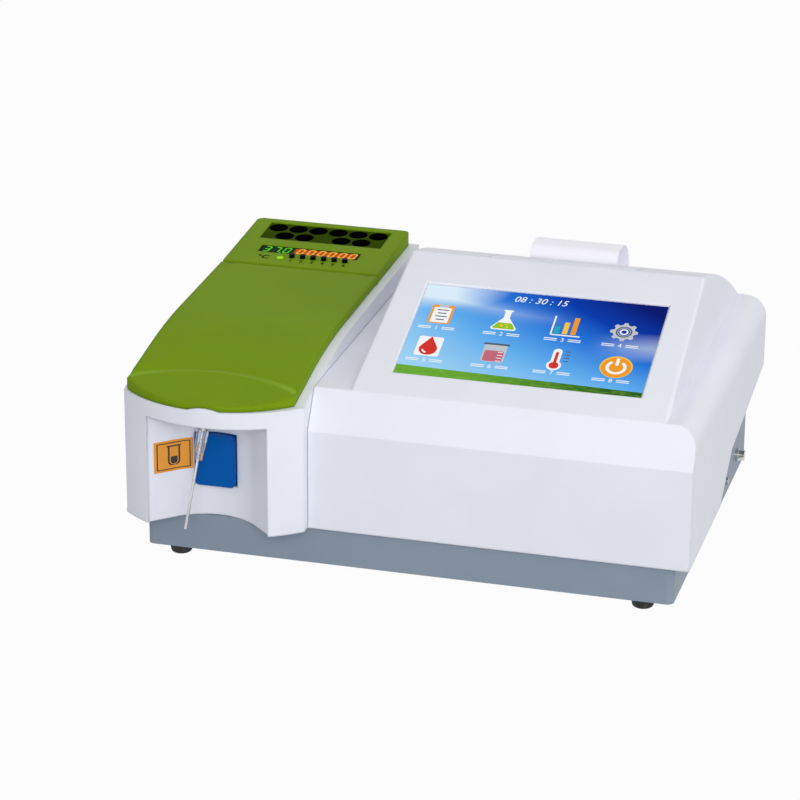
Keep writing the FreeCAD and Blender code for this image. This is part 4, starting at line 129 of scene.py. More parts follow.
class Graph:
    """The shader nodes of one material or of the world."""

    def __init__(self, owner: Any) -> None:
        """Empty the node tree of a material or of the world and take it over."""
        owner.use_nodes = True
        self.owner = owner
        self.tree = owner.node_tree
        self.tree.nodes.clear()

    @classmethod
    def material(cls, name: str) -> "Graph":
        """Return the graph of a new material of that name."""
        return cls(bpy.data.materials.new(name))

    def node(self, kind: str, sockets: dict[Any, Any] | None = None, **settings: Any) -> bpy.types.Node:
        """Add one node.

        Args:
            kind: The node's type, without its first word ShaderNode.
            sockets: A value or a link for each input that is set.
            settings: Its own settings, set first.

        Returns:
            The new node.
        """
        made = self.tree.nodes.new("ShaderNode" + kind)
        for name, value in settings.items():
            setattr(made, name, value)
        for key, value in (sockets or {}).items():
            if isinstance(value, Number):
                value = value.socket
            if isinstance(value, NodeSocket):
                self.tree.links.new(value, made.inputs[key])
            else:
                made.inputs[key].default_value = value
        return made

    def place(self) -> NodeSocket:
        """Return the point on the surface, in metres."""
        return self.node("TexCoord").outputs["Object"]

    def parts(self, vector: NodeSocket) -> tuple[Number, Number, Number]:
        """Return a vector's three parts."""
        return tuple(Number(self, socket) for socket in self.node("SeparateXYZ", {0: vector}).outputs)

    def turned(self, angle: float, centre: Vector) -> tuple[Number, Number, Number]:
        """Return the point on the surface seen from a frame that is tilted about X.

        Args:
            angle: The tilt in radians.
            centre: The frame's origin, in metres.

        Returns:
            The distances across, along and out of the tilted frame.
        """
        moved = self.node("VectorMath", {0: self.place(), 1: centre}, operation="SUBTRACT")
        sockets = {"Vector": moved.outputs[0], "Rotation": (-angle, 0.0, 0.0)}
        return self.parts(self.node("Mapping", sockets, vector_type="POINT").outputs[0])

    def noise(self, grain: float, detail: float = 2.0, stretch: Sequence[float] = (1, 1, 1)) -> Number:
        """Return a noise about 0.5.

        Args:
            grain: The size of one blotch in metres.
            detail: How many finer layers it has.
            stretch: How many times longer the blotches are along X, Y and Z.

        Returns:
            The noise.
        """
        scaled = self.node("VectorMath", {0: self.place(), 1: tuple(stretch)}, operation="DIVIDE")
        sockets = {"Vector": scaled.outputs[0], "Scale": 1 / grain, "Detail": detail}
        return Number(self, self.node("TexNoise", sockets).outputs["Fac"])

    def blend(self, mask: Any, first: Any, second: Any) -> NodeSocket:
        """Return a colour that goes from first to second with the mask."""
        return self.node("Mix", {0: mask, 6: first, 7: second}, data_type="RGBA").outputs[2]

    def ramp(self, value: Number, stops: Sequence[tuple[float, Colour]]) -> NodeSocket:
        """Return the colour that a ramp gives for a value, from stops of a place and a colour."""
        made = self.node("ValToRGB", {0: value})
        steps = made.color_ramp.elements
        while len(steps) < len(stops):
            steps.new(1.0)
        for step, (step_place, colour) in zip(steps, stops):
            step.position = step_place
            step.color = colour
        return made.outputs["Color"]

    def rounding(self, radius: float) -> NodeSocket:
        """Return the surface's normal with its edges rounded to a radius."""
        return self.node("Bevel", {"Radius": radius}, samples=4).outputs[0]

    def edges(self, rounded: NodeSocket, turn: float = 0.12) -> Number:
        """Return 1 along rounded edges and 0 elsewhere, where turn is how far the normal must swing."""
        plain = self.node("NewGeometry").outputs["Normal"]
        made = self.node("VectorMath", {0: plain, 1: rounded}, operation="DOT_PRODUCT")
        return (1 - Number(self, made.outputs["Value"])).eased(turn / 12, turn)

    def bump(self, height: Number, depth: float, normal: NodeSocket | None = None) -> NodeSocket:
        """Return the normal of a surface raised by a height.

        Args:
            height: The height, from 0 to 1.
            depth: How high 1 is, in metres.
            normal: The normal that it starts from, if not the surface's own.

        Returns:
            The normal.
        """
        sockets = {"Strength": 1.0, "Distance": depth, "Height": height}
        if normal is not None:
            sockets["Normal"] = normal
        return self.node("Bump", sockets).outputs[0]

    def finish(self, shader: bpy.types.Node) -> Material:
        """Show a shader as the material's surface and return the material."""
        self.node("OutputMaterial", {"Surface": shader.outputs[0]})
        return self.owner


class Axis(Enum):
    """A direction along which a surface is brushed or drawn."""

    X = (30.0, 1.0, 1.0)
    Y = (1.0, 30.0, 1.0)
    Z = (1.0, 1.0, 30.0)
    NONE = (1.0, 1.0, 1.0)


# What keeps a dark or lit surface from looking grey at a grazing angle.
LOW_SHINE = {"IOR": 1.1, "Specular IOR Level": 0.1}


@dataclass(frozen=True)
class Finish:
    """What every finish has.

    Attributes:
        name: The material's name.
    """

    name: str

    def build(self) -> Material:
        """Return the material."""
        graph = Graph.material(self.name)
        return graph.finish(graph.node("BsdfPrincipled", self.sockets(graph)))

    def sockets(self, graph: Graph) -> dict[str, Any]:
        """Return what the shader's inputs get."""
        raise NotImplementedError


@dataclass(frozen=True)
class Coloured(Finish):
    """A finish with one main colour.

    Attributes:
        colour: That colour.
    """

    colour: Colour

    def shade(self, share: float, lift: float = 0.0) -> Colour:
        """Return its colour times a share and raised by a lift."""
        return (*(min(part * share + lift, 1.0) for part in self.colour[:3]), 1.0)


@dataclass(frozen=True)
class Plastic(Coloured):
    """A moulded plastic with the fine grain that an etched mould leaves.

    Attributes:
        roughness: How matt it is.
        grain: The size of the mould's grain, in metres.
        depth: The depth of that grain, in metres.
        edge: The radius that its edges are rounded to, in metres.
        wear: How much its edges are rubbed pale, from 0 to 1.
        mottle: How much its colour wanders, from 0 to 1.
        gloss: How strongly it reflects, where 0.5 is common.
        crease: How far the surface must turn at an edge for the edge to be rubbed.
        bend: How much it bends light. A low value keeps it dark at a grazing angle.
        pit: The colour of its upright walls, if they are darker than its top.
        ridge: The centre's X, its Y and the radius of a round ridge that is rubbed pale, in metres.
    """

    CLOUD = 45 * MM
    RUB = 3 * MM
    RUB_EDGE = 0.8 * MM
    RIDGE_HALF = 3.4 * MM

    roughness: float = 0.42
    grain: float = 0.45 * MM
    depth: float = 0.012 * MM
    edge: float = 0.6 * MM
    wear: float = 0.25
    mottle: float = 0.03
    gloss: float = 0.5
    crease: float = 0.12
    bend: float = 1.45
    pit: Colour | None = None
    ridge: tuple[float, float, float] | None = None

    def sockets(self, graph: Graph) -> dict[str, Any]:
        """Return what the shader's inputs get."""
        rounded = graph.rounding(self.edge)
        grain = graph.noise(self.grain, 3.0)
        cloud = graph.noise(self.CLOUD)
        # Pale edges: partly rubbed wear, partly a painted highlight along rounded edges and creases.
        worn_and_lit_edges = graph.edges(graph.rounding(min(self.edge, self.RUB_EDGE)), self.crease)
        rub_and_highlight = worn_and_lit_edges * graph.noise(self.RUB, 3.0).eased(0.3, 0.6) * self.wear
        if self.ridge is not None:
            rub_and_highlight = rub_and_highlight.most(self._ridge_line(graph))
        body = graph.blend(cloud.eased(0.3, 0.7), self.shade(1 - self.mottle), self.colour)
        # Painted shade: upright walls, such as the walls of the wells, get a darker colour.
        if self.pit is not None:
            upright = graph.parts(graph.node("NewGeometry").outputs["Normal"])[2]
            body = graph.blend(upright.size().below(0.6), body, self.pit)
        return {
            # The pale edge tone is worn plastic and painted highlight at once.
            "Base Color": graph.blend(rub_and_highlight, body, self.shade(1.5, 0.015)),
            "Roughness": self.roughness + grain.swing(0.12) - rub_and_highlight * 0.15 + cloud.swing(0.06),
            "Normal": graph.bump(grain, self.depth, rounded),
            "Specular IOR Level": self.gloss,
            "IOR": self.bend,
        }

    def _ridge_line(self, graph: Graph) -> Number:
        """Return how much the surface is rubbed along the ridge."""
        across, along, _ = graph.parts(graph.place())
        facing = graph.parts(graph.node("TexCoord").outputs["Normal"])[2].above(0.3)
        right, back = across - self.ridge[0], along - self.ridge[1]
        off = ((right * right + back * back) ** 0.5 - self.ridge[2]).size()
        return (1 - off / self.RIDGE_HALF).most(0.0) * facing * back.above(0.0)


@dataclass(frozen=True)
class Metal(Coloured):
    """A bare, brushed or plated metal.

    Attributes:
        roughness: How matt it is.
        brushed: The direction of its brush marks.
        edge: The radius that its edges are rounded to, in metres.
    """

    MARK = 0.25 * MM
    MARK_DEPTH = 0.006 * MM
    STAIN = 9 * MM

    roughness: float = 0.3
    brushed: Axis = Axis.NONE
    edge: float = 0.25 * MM

    def sockets(self, graph: Graph) -> dict[str, Any]:
        """Return what the shader's inputs get."""
        marks = graph.noise(self.MARK, 3.0, self.brushed.value)
        stains = graph.noise(self.STAIN, 3.0)
        return {
            "Base Color": graph.blend(stains.eased(0.35, 0.7), self.shade(0.82), self.colour),
            "Metallic": 1.0,
            "Roughness": self.roughness + marks.swing(0.22) + stains.swing(0.12),
            "Normal": graph.bump(marks, self.MARK_DEPTH, graph.rounding(self.edge)),
        }


@dataclass(frozen=True)
class PowderCoat(Coloured):
    """Powder paint on sheet steel, with its orange peel and chipped edges."""

    ROUGHNESS = 0.48
    EDGE = 0.5 * MM
    PEEL = 1.1 * MM
    PEEL_DEPTH = 0.03 * MM
    SPECK = 0.3 * MM
    DUST = 30 * MM
    CHIP = 1.6 * MM
    STEEL = tint(190, 192, 195)

    def sockets(self, graph: Graph) -> dict[str, Any]:
        """Return what the shader's inputs get."""
        rounded = graph.rounding(self.EDGE)
        speck = graph.noise(self.SPECK)
        dust = graph.noise(self.DUST, 4.0)
        chips = graph.edges(rounded) * graph.noise(self.CHIP, 4.0).eased(0.62, 0.7)
        body = graph.blend(dust.eased(0.4, 0.8) * 0.5, self.colour, self.shade(0.88, 0.06))
        relief = graph.noise(self.PEEL, 1.0) * 0.8 + speck * 0.2
        return {
            "Base Color": graph.blend(chips * 0.6, body, self.STEEL),
            "Roughness": self.ROUGHNESS + speck.swing(0.2) - chips * 0.15,
            "Normal": graph.bump(relief, self.PEEL_DEPTH, rounded),
        }


@dataclass(frozen=True)
class Rubber(Coloured):
    """A matt black or coloured rubber with a dry bloom."""

    ROUGHNESS = 0.72
    EDGE = 0.5 * MM
    BLOOM = 4 * MM
    PIT = 0.3 * MM
    PIT_DEPTH = 0.02 * MM

    def sockets(self, graph: Graph) -> dict[str, Any]:
        """Return what the shader's inputs get."""
        bloom = graph.noise(self.BLOOM, 4.0)
        pits = graph.noise(self.PIT, 3.0)
        return {
            "Base Color": graph.blend(bloom.eased(0.45, 0.75), self.colour, self.shade(0.8, 0.05)),
            "Roughness": self.ROUGHNESS + pits.swing(0.25),
            "Normal": graph.bump(pits, self.PIT_DEPTH, graph.rounding(self.EDGE)),
        }


@dataclass(frozen=True)
class Clear(Coloured):
    """Clear glass or clear plastic.

    Attributes:
        roughness: How frosted it is.
        bend: Its index of refraction.
    """

    SMEAR = 5 * MM
    FLOW = 2 * MM
    FLOW_DEPTH = 0.02 * MM
    SMEAR_COLOUR = tint(235, 238, 240)
    CLARITY = 0.92

    roughness: float = 0.06
    bend: float = 1.46

    def sockets(self, graph: Graph) -> dict[str, Any]:
        """Return what the shader's inputs get."""
        smears = graph.noise(self.SMEAR, 3.0)
        return {
            "Base Color": graph.blend(smears.eased(0.4, 0.8) * 0.25, self.colour, self.SMEAR_COLOUR),
            "Roughness": self.roughness + smears.eased(0.5, 0.8) * 0.08,
            "Normal": graph.bump(graph.noise(self.FLOW, 1.0), self.FLOW_DEPTH),
            "Transmission Weight": self.CLARITY,
            "IOR": self.bend,
        }


@dataclass(frozen=True)
class Glow(Coloured):
    """A lit sign behind glass.

    Attributes:
        strength: Its brightness, where 1 shows the colour as written.
    """

    ROW = 0.4 * MM
    ROW_DEPTH = 0.002 * MM
    UNLIT = tint(12, 12, 14)

    strength: float = 1.0

    def sockets(self, graph: Graph) -> dict[str, Any]:
        """Return what the shader's inputs get."""
        rows = graph.noise(self.ROW, 1.0)
        return {
            "Base Color": self.UNLIT,
            "Roughness": 0.2 + rows.swing(0.1),
            "Emission Color": graph.blend(rows.eased(0.3, 0.7), self.shade(0.86), self.colour),
            "Emission Strength": self.strength,
            "Normal": graph.bump(rows, self.ROW_DEPTH),
            **LOW_SHINE,
        }


@dataclass(frozen=True)
class Ink(Coloured):
    """Screen-printed ink."""

    MESH = 0.25 * MM
    MESH_DEPTH = 0.01 * MM

    def sockets(self, graph: Graph) -> dict[str, Any]:
        """Return what the shader's inputs get."""
        cover = graph.noise(self.MESH, 3.0)
        return {
            "Base Color": graph.blend(cover.eased(0.5, 0.8), self.colour, self.shade(0.9, 0.03)),
            "Roughness": 0.5 + cover.swing(0.2),
            "Normal": graph.bump(cover, self.MESH_DEPTH),
            **LOW_SHINE,
        }


@dataclass(frozen=True)
class ThermalPaper(Coloured):
    """Thin coated paper with its fibres, lit a little from behind."""

    FIBRE = 0.35 * MM
    FIBRE_DEPTH = 0.012 * MM
    FIBRE_WAY = (3.0, 1.0, 1.0)
    CLOUD = 7 * MM
    LIGHT_THROUGH = 0.3

    def sockets(self, graph: Graph) -> dict[str, Any]:
        """Return what the shader's inputs get."""
        fibres = graph.noise(self.FIBRE, 4.0, self.FIBRE_WAY)
        mask = fibres.eased(0.35, 0.75) * 0.6 + graph.noise(self.CLOUD) * 0.3
        return {
            "Base Color": graph.blend(mask, self.colour, self.shade(0.93)),
            "Roughness": 0.62 + fibres.swing(0.2),
            "Normal": graph.bump(fibres, self.FIBRE_DEPTH),
            "Sheen Weight": 0.1,
            # Painted light: a faint glow that lightens the paper's shaded side.
            "Emission Color": self.colour,
            "Emission Strength": self.LIGHT_THROUGH,
        }


@dataclass(frozen=True)
class CircuitBoard(Finish):
    """Green solder mask with copper tracks under it, and black chips standing on it.

    Attributes:
        level: The height of the board's upper face, in metres.
        pitch: The spacing of the tracks, in metres.
    """

    PATCH = 14 * MM
    SPECK = 0.3 * MM
    CHIP_RISE = 0.2 * MM
    RELIEF = 0.03 * MM

    level: float
    pitch: float = 2.54 * MM

    def sockets(self, graph: Graph) -> dict[str, Any]:
        """Return what the shader's inputs get."""
        x, y, z = graph.parts(graph.place())
        lanes, crossings = ((way / self.pitch).fraction().above(0.72) for way in (y, x))
        patches = graph.noise(self.PATCH, 0.0).above(0.5)
        tracks = lanes * patches + crossings * (1 - patches)
        chips = z.above(self.level + self.CHIP_RISE)
        speck = graph.noise(self.SPECK)
        mask = graph.blend(tracks, tint(14, 84, 46), tint(34, 118, 66))
        return {
            "Base Color": graph.blend(chips, mask, tint(28, 28, 31)),
            "Roughness": 0.3 + chips * 0.25 + speck.swing(0.1),
            "Normal": graph.bump(tracks * (1 - chips) + speck * 0.1, self.RELIEF),
        }


@dataclass(frozen=True)
class TubeLabel(Finish):
    """An amber film label with a thin frame and a plain sign of a sample tube, printed along Y.

    Attributes:
        low: The label's lower left corner as seen from the front, X and Z in metres.
        high: Its upper right corner.
    """

    STROKE = 0.9 * MM
    MARGIN = 1.2 * MM
    TUBE_HALF = 2.6 * MM
    TUBE_SHARE = 0.62
    FILL = -0.1
    FILM = 0.6 * MM
    FILM_DEPTH = 0.008 * MM
    CLOUD = 8 * MM

    low: Point
    high: Point

    def sockets(self, graph: Graph) -> dict[str, Any]:
        """Return what the shader's inputs get."""
        x, _, z = graph.parts(graph.place())
        wide, tall = ((self.high[axis] - self.low[axis]) / 2 for axis in (0, 1))
        across = (x - (self.low[0] + self.high[0]) / 2).size()
        up = z - (self.low[1] + self.high[1]) / 2
        reach = tall * self.TUBE_SHARE
        inset = (across - wide + self.MARGIN).most(up.size() - tall + self.MARGIN)
        border = (inset + self.STROKE / 2).size().below(self.STROKE * 0.35)
        rise = up + reach - self.TUBE_HALF
        bowl = (across * across + rise * rise) ** 0.5
        barrel = across.most(rise * -1000)
        inside = up.below(self.TUBE_HALF - reach)
        edge = bowl * inside + barrel * (1 - inside)
        wall = (edge - self.TUBE_HALF).size().below(self.STROKE / 2) * up.size().below(reach)
        rim = across.below(self.TUBE_HALF + self.STROKE) * (up - reach).size().below(self.STROKE / 2)
        sample = edge.below(self.TUBE_HALF - self.STROKE) * up.below(reach * self.FILL)
        film = graph.noise(self.FILM)
        amber = graph.blend(graph.noise(self.CLOUD), tint(236, 158, 48), tint(228, 148, 42))
        return {
            "Base Color": graph.blend(border.most(wall).most(rim).most(sample), amber, tint(34, 30, 26)),
            "Roughness": 0.34 + film.swing(0.12),
            "Normal": graph.bump(film, self.FILM_DEPTH),
        }


@dataclass(frozen=True)
class ScreenPicture(Finish):
    """The picture that the touch screen shows: a blue field with a soft light in it and a green foot.

    Attributes:
        centre: The middle of the glass.
        angle: The tilt of the glass, in radians.
        half: Half the picture's width and height, in metres.
    """

    SKY = ((0.05, tint(160, 214, 248)), (0.3, tint(92, 172, 240)), (0.5, tint(34, 118, 220)),
           (0.68, tint(0, 58, 174)), (0.9, tint(0, 20, 112)))
    FLARE = tint(222, 240, 252)
    BLADE = 1.6 * MM
    BLADE_WAY = (3.0, 1.0, 1.0)
    SMEAR = 12 * MM
    SMEAR_DEPTH = 0.004 * MM
    BRIGHTNESS = 0.96

    centre: Vector
    angle: float
    half: Point

    def sockets(self, graph: Graph) -> dict[str, Any]:
        """Return what the shader's inputs get."""
        across, along, _ = graph.turned(self.angle, self.centre)
        u = across / (2 * self.half[0]) + 0.5
        v = along / (2 * self.half[1]) + 0.5
        shown = graph.blend(self._flare(graph, u, v), self._sky(graph, u, v), self.FLARE)
        shown = graph.blend(v.below(0.105 - u * 0.043), shown, self._grass(graph, u))
        outside = (across.size() - self.half[0]).most(along.size() - self.half[1]).above(0.0)
        smears = graph.noise(self.SMEAR, 3.0)
        return {
            "Base Color": tint(9, 10, 12),
            "Roughness": 0.14 + smears.eased(0.5, 0.8) * 0.08,
            "Emission Color": graph.blend(outside, shown, tint(10, 12, 16)),
            "Emission Strength": self.BRIGHTNESS,
            "Normal": graph.bump(smears, self.SMEAR_DEPTH),
            **LOW_SHINE,
        }

    def _sky(self, graph: Graph, u: Number, v: Number) -> NodeSocket:
        """Return the blue field, where u goes from 0 to 1 across the picture and v up it."""
        return graph.ramp(v * 0.75 + u * 0.25 - (1 - u) * v * 0.45, self.SKY)

    @staticmethod
    def _flare(graph: Graph, u: Number, v: Number) -> Number:
        """Return the soft light: a swell at the top left, a haze at the right and a lit corner."""
        swell = v - 0.93 + u * 0.36 + (u * 6.0).sine() * 0.03
        band = (1 - swell.size() / 0.15).most(0.0)
        glow = band * band * (1 - u * 1.5).most(0.0) * 0.6
        second = v - 0.5 - (u - 0.75) * 0.12
        haze = (1 - second.size() / 0.16).most(0.0) * u.eased(0.7, 1.0) * 0.45
        corner = (1 - ((u * u * 1.6 + (1 - v) * (1 - v) * 2.6) ** 0.5) * 2.2).most(0.0)
        return (glow + haze + corner * 1.5).least(1.0)

    def _grass(self, graph: Graph, u: Number) -> NodeSocket:
        """Return the green foot with its blades."""
        field_colour = graph.blend(u.eased(0.1, 1.0), tint(98, 168, 50), tint(10, 84, 22))
        blades = graph.noise(self.BLADE, 3.0, self.BLADE_WAY)
        return graph.blend(blades.eased(0.3, 0.8) * 0.35, field_colour, tint(150, 196, 70))


@dataclass(frozen=True)
class DigitWindow(Finish):
    """Smoked window with an amber glow behind the orange digits and a green one behind the others.

    Attributes:
        split: The X of the line between the two glows, in metres.
        low: The window's lowest corner.
        high: The window's highest corner.
    """

    EDGE = 1.2 * MM
    FADE = 0.8 * MM
    DUST = 2 * MM
    DUST_DEPTH = 0.004 * MM
    BRIGHTNESS = 0.9

    split: float
    low: Vector
    high: Vector

    def sockets(self, graph: Graph) -> dict[str, Any]:
        """Return what the shader's inputs get."""
        x, y, _ = graph.parts(graph.place())
        inner = (x - self.low.x - self.EDGE).least(self.high.x - self.EDGE - x)
        inner = inner.least(y - self.low.y - self.EDGE).least(self.high.y - self.EDGE - y)
        glow = graph.blend(x.above(self.split), tint(14, 46, 8), tint(196, 84, 14))
        dust = graph.noise(self.DUST, 3.0)
        return {
            "Base Color": tint(16, 18, 12),
            "Roughness": 0.12 + dust.eased(0.5, 0.8) * 0.1,
            "Emission Color": graph.blend(inner.eased(0.0, self.FADE), tint(4, 5, 3), glow),
            "Emission Strength": self.BRIGHTNESS,
            "Normal": graph.bump(dust, self.DUST_DEPTH),
            **LOW_SHINE,
        }


class Studio:
    """The floor, the lamps, the world and the camera."""

    FLOOR_SIDE = 12.0
    FOCAL = 144.0
    SENSOR = 36.0
    YAW = math.radians(15.4725)
    PITCH = math.radians(21.2051)
    ROLL = math.radians(-0.31502)
    CAMERA_AT = Vector((481.061, -1862.677, 826.269)) * MM
    CLIP_START = 0.1
    AMBIENT = 0.5
    FLOOR_SHOWN_SHARE = 0.965
    FLOOR_GREY = (0.42, 0.43, 0.45, 1)
    WHITE = (1, 1, 1, 1)
    LAMPS_AIM = Vector((0, 0, 0.08))
    # Each lamp: its name, where it stands, its side in metres and its power in watts.
    LAMPS = (
        ("key_lamp", (0.6, -2.15, 1.0), 1.2, 26.5),
        ("right_lamp", (2.2, -0.5, 0.9), 1.4, 13.0),
        ("top_lamp", (0.2, 0.6, 2.3), 1.6, 2.0),
    )

    def build(self) -> None:
        """Make everything that isn't part of the instrument."""
        self._world()
        self._floor()
        for name, at, side, power in self.LAMPS:
            self._lamp(name, Vector(at), side, power)
        self._camera()
        bpy.context.scene.view_settings.view_transform = "Standard"

    @staticmethod
    def _shown(graph: Graph) -> Number:
        """Return 1 for the rays that see the background: camera, glossy and transmitted ones."""
        path = graph.node("LightPath")
        camera, glossy, passed = (Number(graph, path.outputs[f"Is {kind} Ray"])
                                  for kind in ("Camera", "Glossy", "Transmission"))
        return camera.most(glossy).most(passed)

    def _world(self) -> None:
        """Light the room evenly and show a white background."""
        world = bpy.data.worlds.new("studio")
        bpy.context.scene.world = world
        graph = Graph(world)
        room, back = (graph.node("Background", {"Color": self.WHITE, "Strength": strength}).outputs[0]
                      for strength in (self.AMBIENT, 1.0))
        both = graph.node("MixShader", {0: self._shown(graph), 1: room, 2: back})
        graph.node("OutputWorld", {"Surface": both.outputs[0]})

    def _floor(self) -> None:
        """Lay a plain pale floor that keeps the instrument's shadow."""
        clear()
        bpy.ops.mesh.primitive_plane_add(size=self.FLOOR_SIDE)
        floor = bpy.context.object
        floor.name = "floor"
        graph = Graph.material("pale_floor")
        dull = graph.node("BsdfDiffuse", {"Color": self.FLOOR_GREY})
        white = graph.node("Emission", {"Color": self.WHITE, "Strength": 1.0})
        mask = self._shown(graph) * self.FLOOR_SHOWN_SHARE
        both = graph.node("MixShader", {0: mask, 1: dull.outputs[0], 2: white.outputs[0]})
        floor.data.materials.append(graph.finish(both))

    def _lamp(self, name: str, at: Vector, side: float, power: float) -> None:
        """Hang one soft square lamp that aims at the instrument."""
        bpy.ops.object.light_add(type="AREA", location=at)
        lamp = bpy.context.object
        lamp.name = name
        lamp.data.size = side
        lamp.data.energy = power
        lamp.rotation_euler = (self.LAMPS_AIM - at).to_track_quat("-Z", "Y").to_euler()

    def _camera(self) -> None:
        """Stand the camera where the photograph was taken."""
        bpy.ops.object.camera_add(location=self.CAMERA_AT)
        camera = bpy.context.object
        camera.data.lens = self.FOCAL
        camera.data.sensor_width = self.SENSOR
        camera.data.clip_start = self.CLIP_START
        turn = Matrix.Rotation(self.YAW, 3, "Z") @ Matrix.Rotation(math.pi / 2 - self.PITCH, 3, "X")
        turn = turn @ Matrix.Rotation(-self.ROLL, 3, "Z")
        camera.rotation_mode = "QUATERNION"
        camera.rotation_quaternion = turn.to_quaternion()
        bpy.context.scene.camera = camera


def clear() -> None:
    """Leave edit mode and deselect everything."""
    if bpy.context.object and bpy.context.object.mode != "OBJECT":
        bpy.ops.object.mode_set(mode="OBJECT")
    bpy.ops.object.select_all(action="DESELECT")


def only(piece: Object) -> None:
    """Select one piece and make it the active one."""
    clear()
    piece.select_set(True)
    bpy.context.view_layer.objects.active = piece


def settle(piece: Object) -> Object:
    """Put a piece's place, turn and scale into its mesh."""
    only(piece)
    bpy.ops.object.transform_apply(location=True, rotation=True, scale=True)
    return piece


def block(name: str, sides: Vector) -> Object:
    """Add a block about the origin by its three sides."""
    clear()
    bpy.ops.mesh.primitive_cube_add(size=1, scale=sides)
    piece = bpy.context.object
    piece.name = name
    return settle(piece)


def rod(name: str, centre: Vector, radius: float, length: float, sides: int = 32) -> Object:
    """Add a rod along Y by its centre, radius, length and number of sides."""
    clear()
    bpy.ops.mesh.primitive_cylinder_add(vertices=sides, radius=radius, depth=length, location=centre,
                                        rotation=REARWARD.to_track_quat("Z", "Y").to_euler())
    piece = bpy.context.object
    piece.name = name
    return settle(piece)


def soften(piece: Object, radius: float, segments: int = 2) -> Object:
    """Round a piece's sharp edges with a bevel that is applied."""
    only(piece)
    bpy.ops.object.modifier_add(type="BEVEL")
    bevel = piece.modifiers[-1]
    bevel.width = radius
    bevel.segments = segments
    bevel.limit_method = "ANGLE"
    bevel.angle_limit = SHARP_TURN
    bpy.ops.object.modifier_apply(modifier=bevel.name)
    bpy.ops.object.shade_smooth_by_angle(angle=SMOOTH_TURN)
    return piece


def carve(piece: Object, tool: Object) -> None:
    """Cut a tool's shape out of a piece and remove the tool."""
    only(piece)
    bpy.ops.object.modifier_add(type="BOOLEAN")
    cut = piece.modifiers[-1]
    cut.operation = "DIFFERENCE"
    cut.object = tool
    bpy.ops.object.modifier_apply(modifier=cut.name)
    bpy.data.objects.remove(tool)


def join(name: str, pieces: Sequence[Object]) -> Object:
    """Make several pieces one and name it."""
    only(pieces[0])
    for piece in pieces:
        piece.select_set(True)
    if len(pieces) > 1:
        bpy.ops.object.join()
    pieces[0].name = name
    return pieces[0]


def meshed(piece: Object) -> Object:
    """Turn a flat curve or text into a mesh without doubled points, its faces outwards."""
    only(piece)
    bpy.ops.object.convert(target="MESH")
    bpy.ops.object.mode_set(mode="EDIT")
    bpy.ops.mesh.select_all(action="SELECT")
    bpy.ops.mesh.remove_doubles(threshold=WELD)
    bpy.ops.mesh.normals_make_consistent(inside=False)
    bpy.ops.object.mode_set(mode="OBJECT")
    return bpy.context.object


def flat(name: str, outlines: Iterable[Sequence[Point]], thick: float) -> Object:
    """Make a flat plate from closed outlines in XY, where an outline inside another is a hole."""
    drawing = bpy.data.curves.new(name, "CURVE")
    drawing.dimensions = "2D"
    drawing.fill_mode = "BOTH"
    drawing.extrude = thick / 2
    for outline in outlines:
        spline = drawing.splines.new("POLY")
        spline.points.add(len(outline) - 1)
        for point, (x, y) in zip(spline.points, outline):
            point.co = (x, y, 0, 1)
        spline.use_cyclic_u = True
    piece = bpy.data.objects.new(name, drawing)
    bpy.context.scene.collection.objects.link(piece)
    return meshed(piece)


def words(name: str, text: str, height: float, thick: float, **settings: float) -> Object:
    """Make flat figures or signs in XY, centred on the origin.

    Args:
        name: The piece's name.
        text: What it says.
        height: The size of its letters, in metres.
        thick: Its thickness, in metres.
        settings: The text's own, such as its shear and its offset, which fattens it.

    Returns:
        The piece.
    """
    clear()
    bpy.ops.object.text_add()
    piece = bpy.context.object
    piece.name = name
    wanted = {"body": text, "align_x": "CENTER", "align_y": "CENTER", "size": height,
              "extrude": thick / 2, "resolution_u": 4, **settings}
    for setting, value in wanted.items():
        setattr(piece.data, setting, value)
    return meshed(piece)


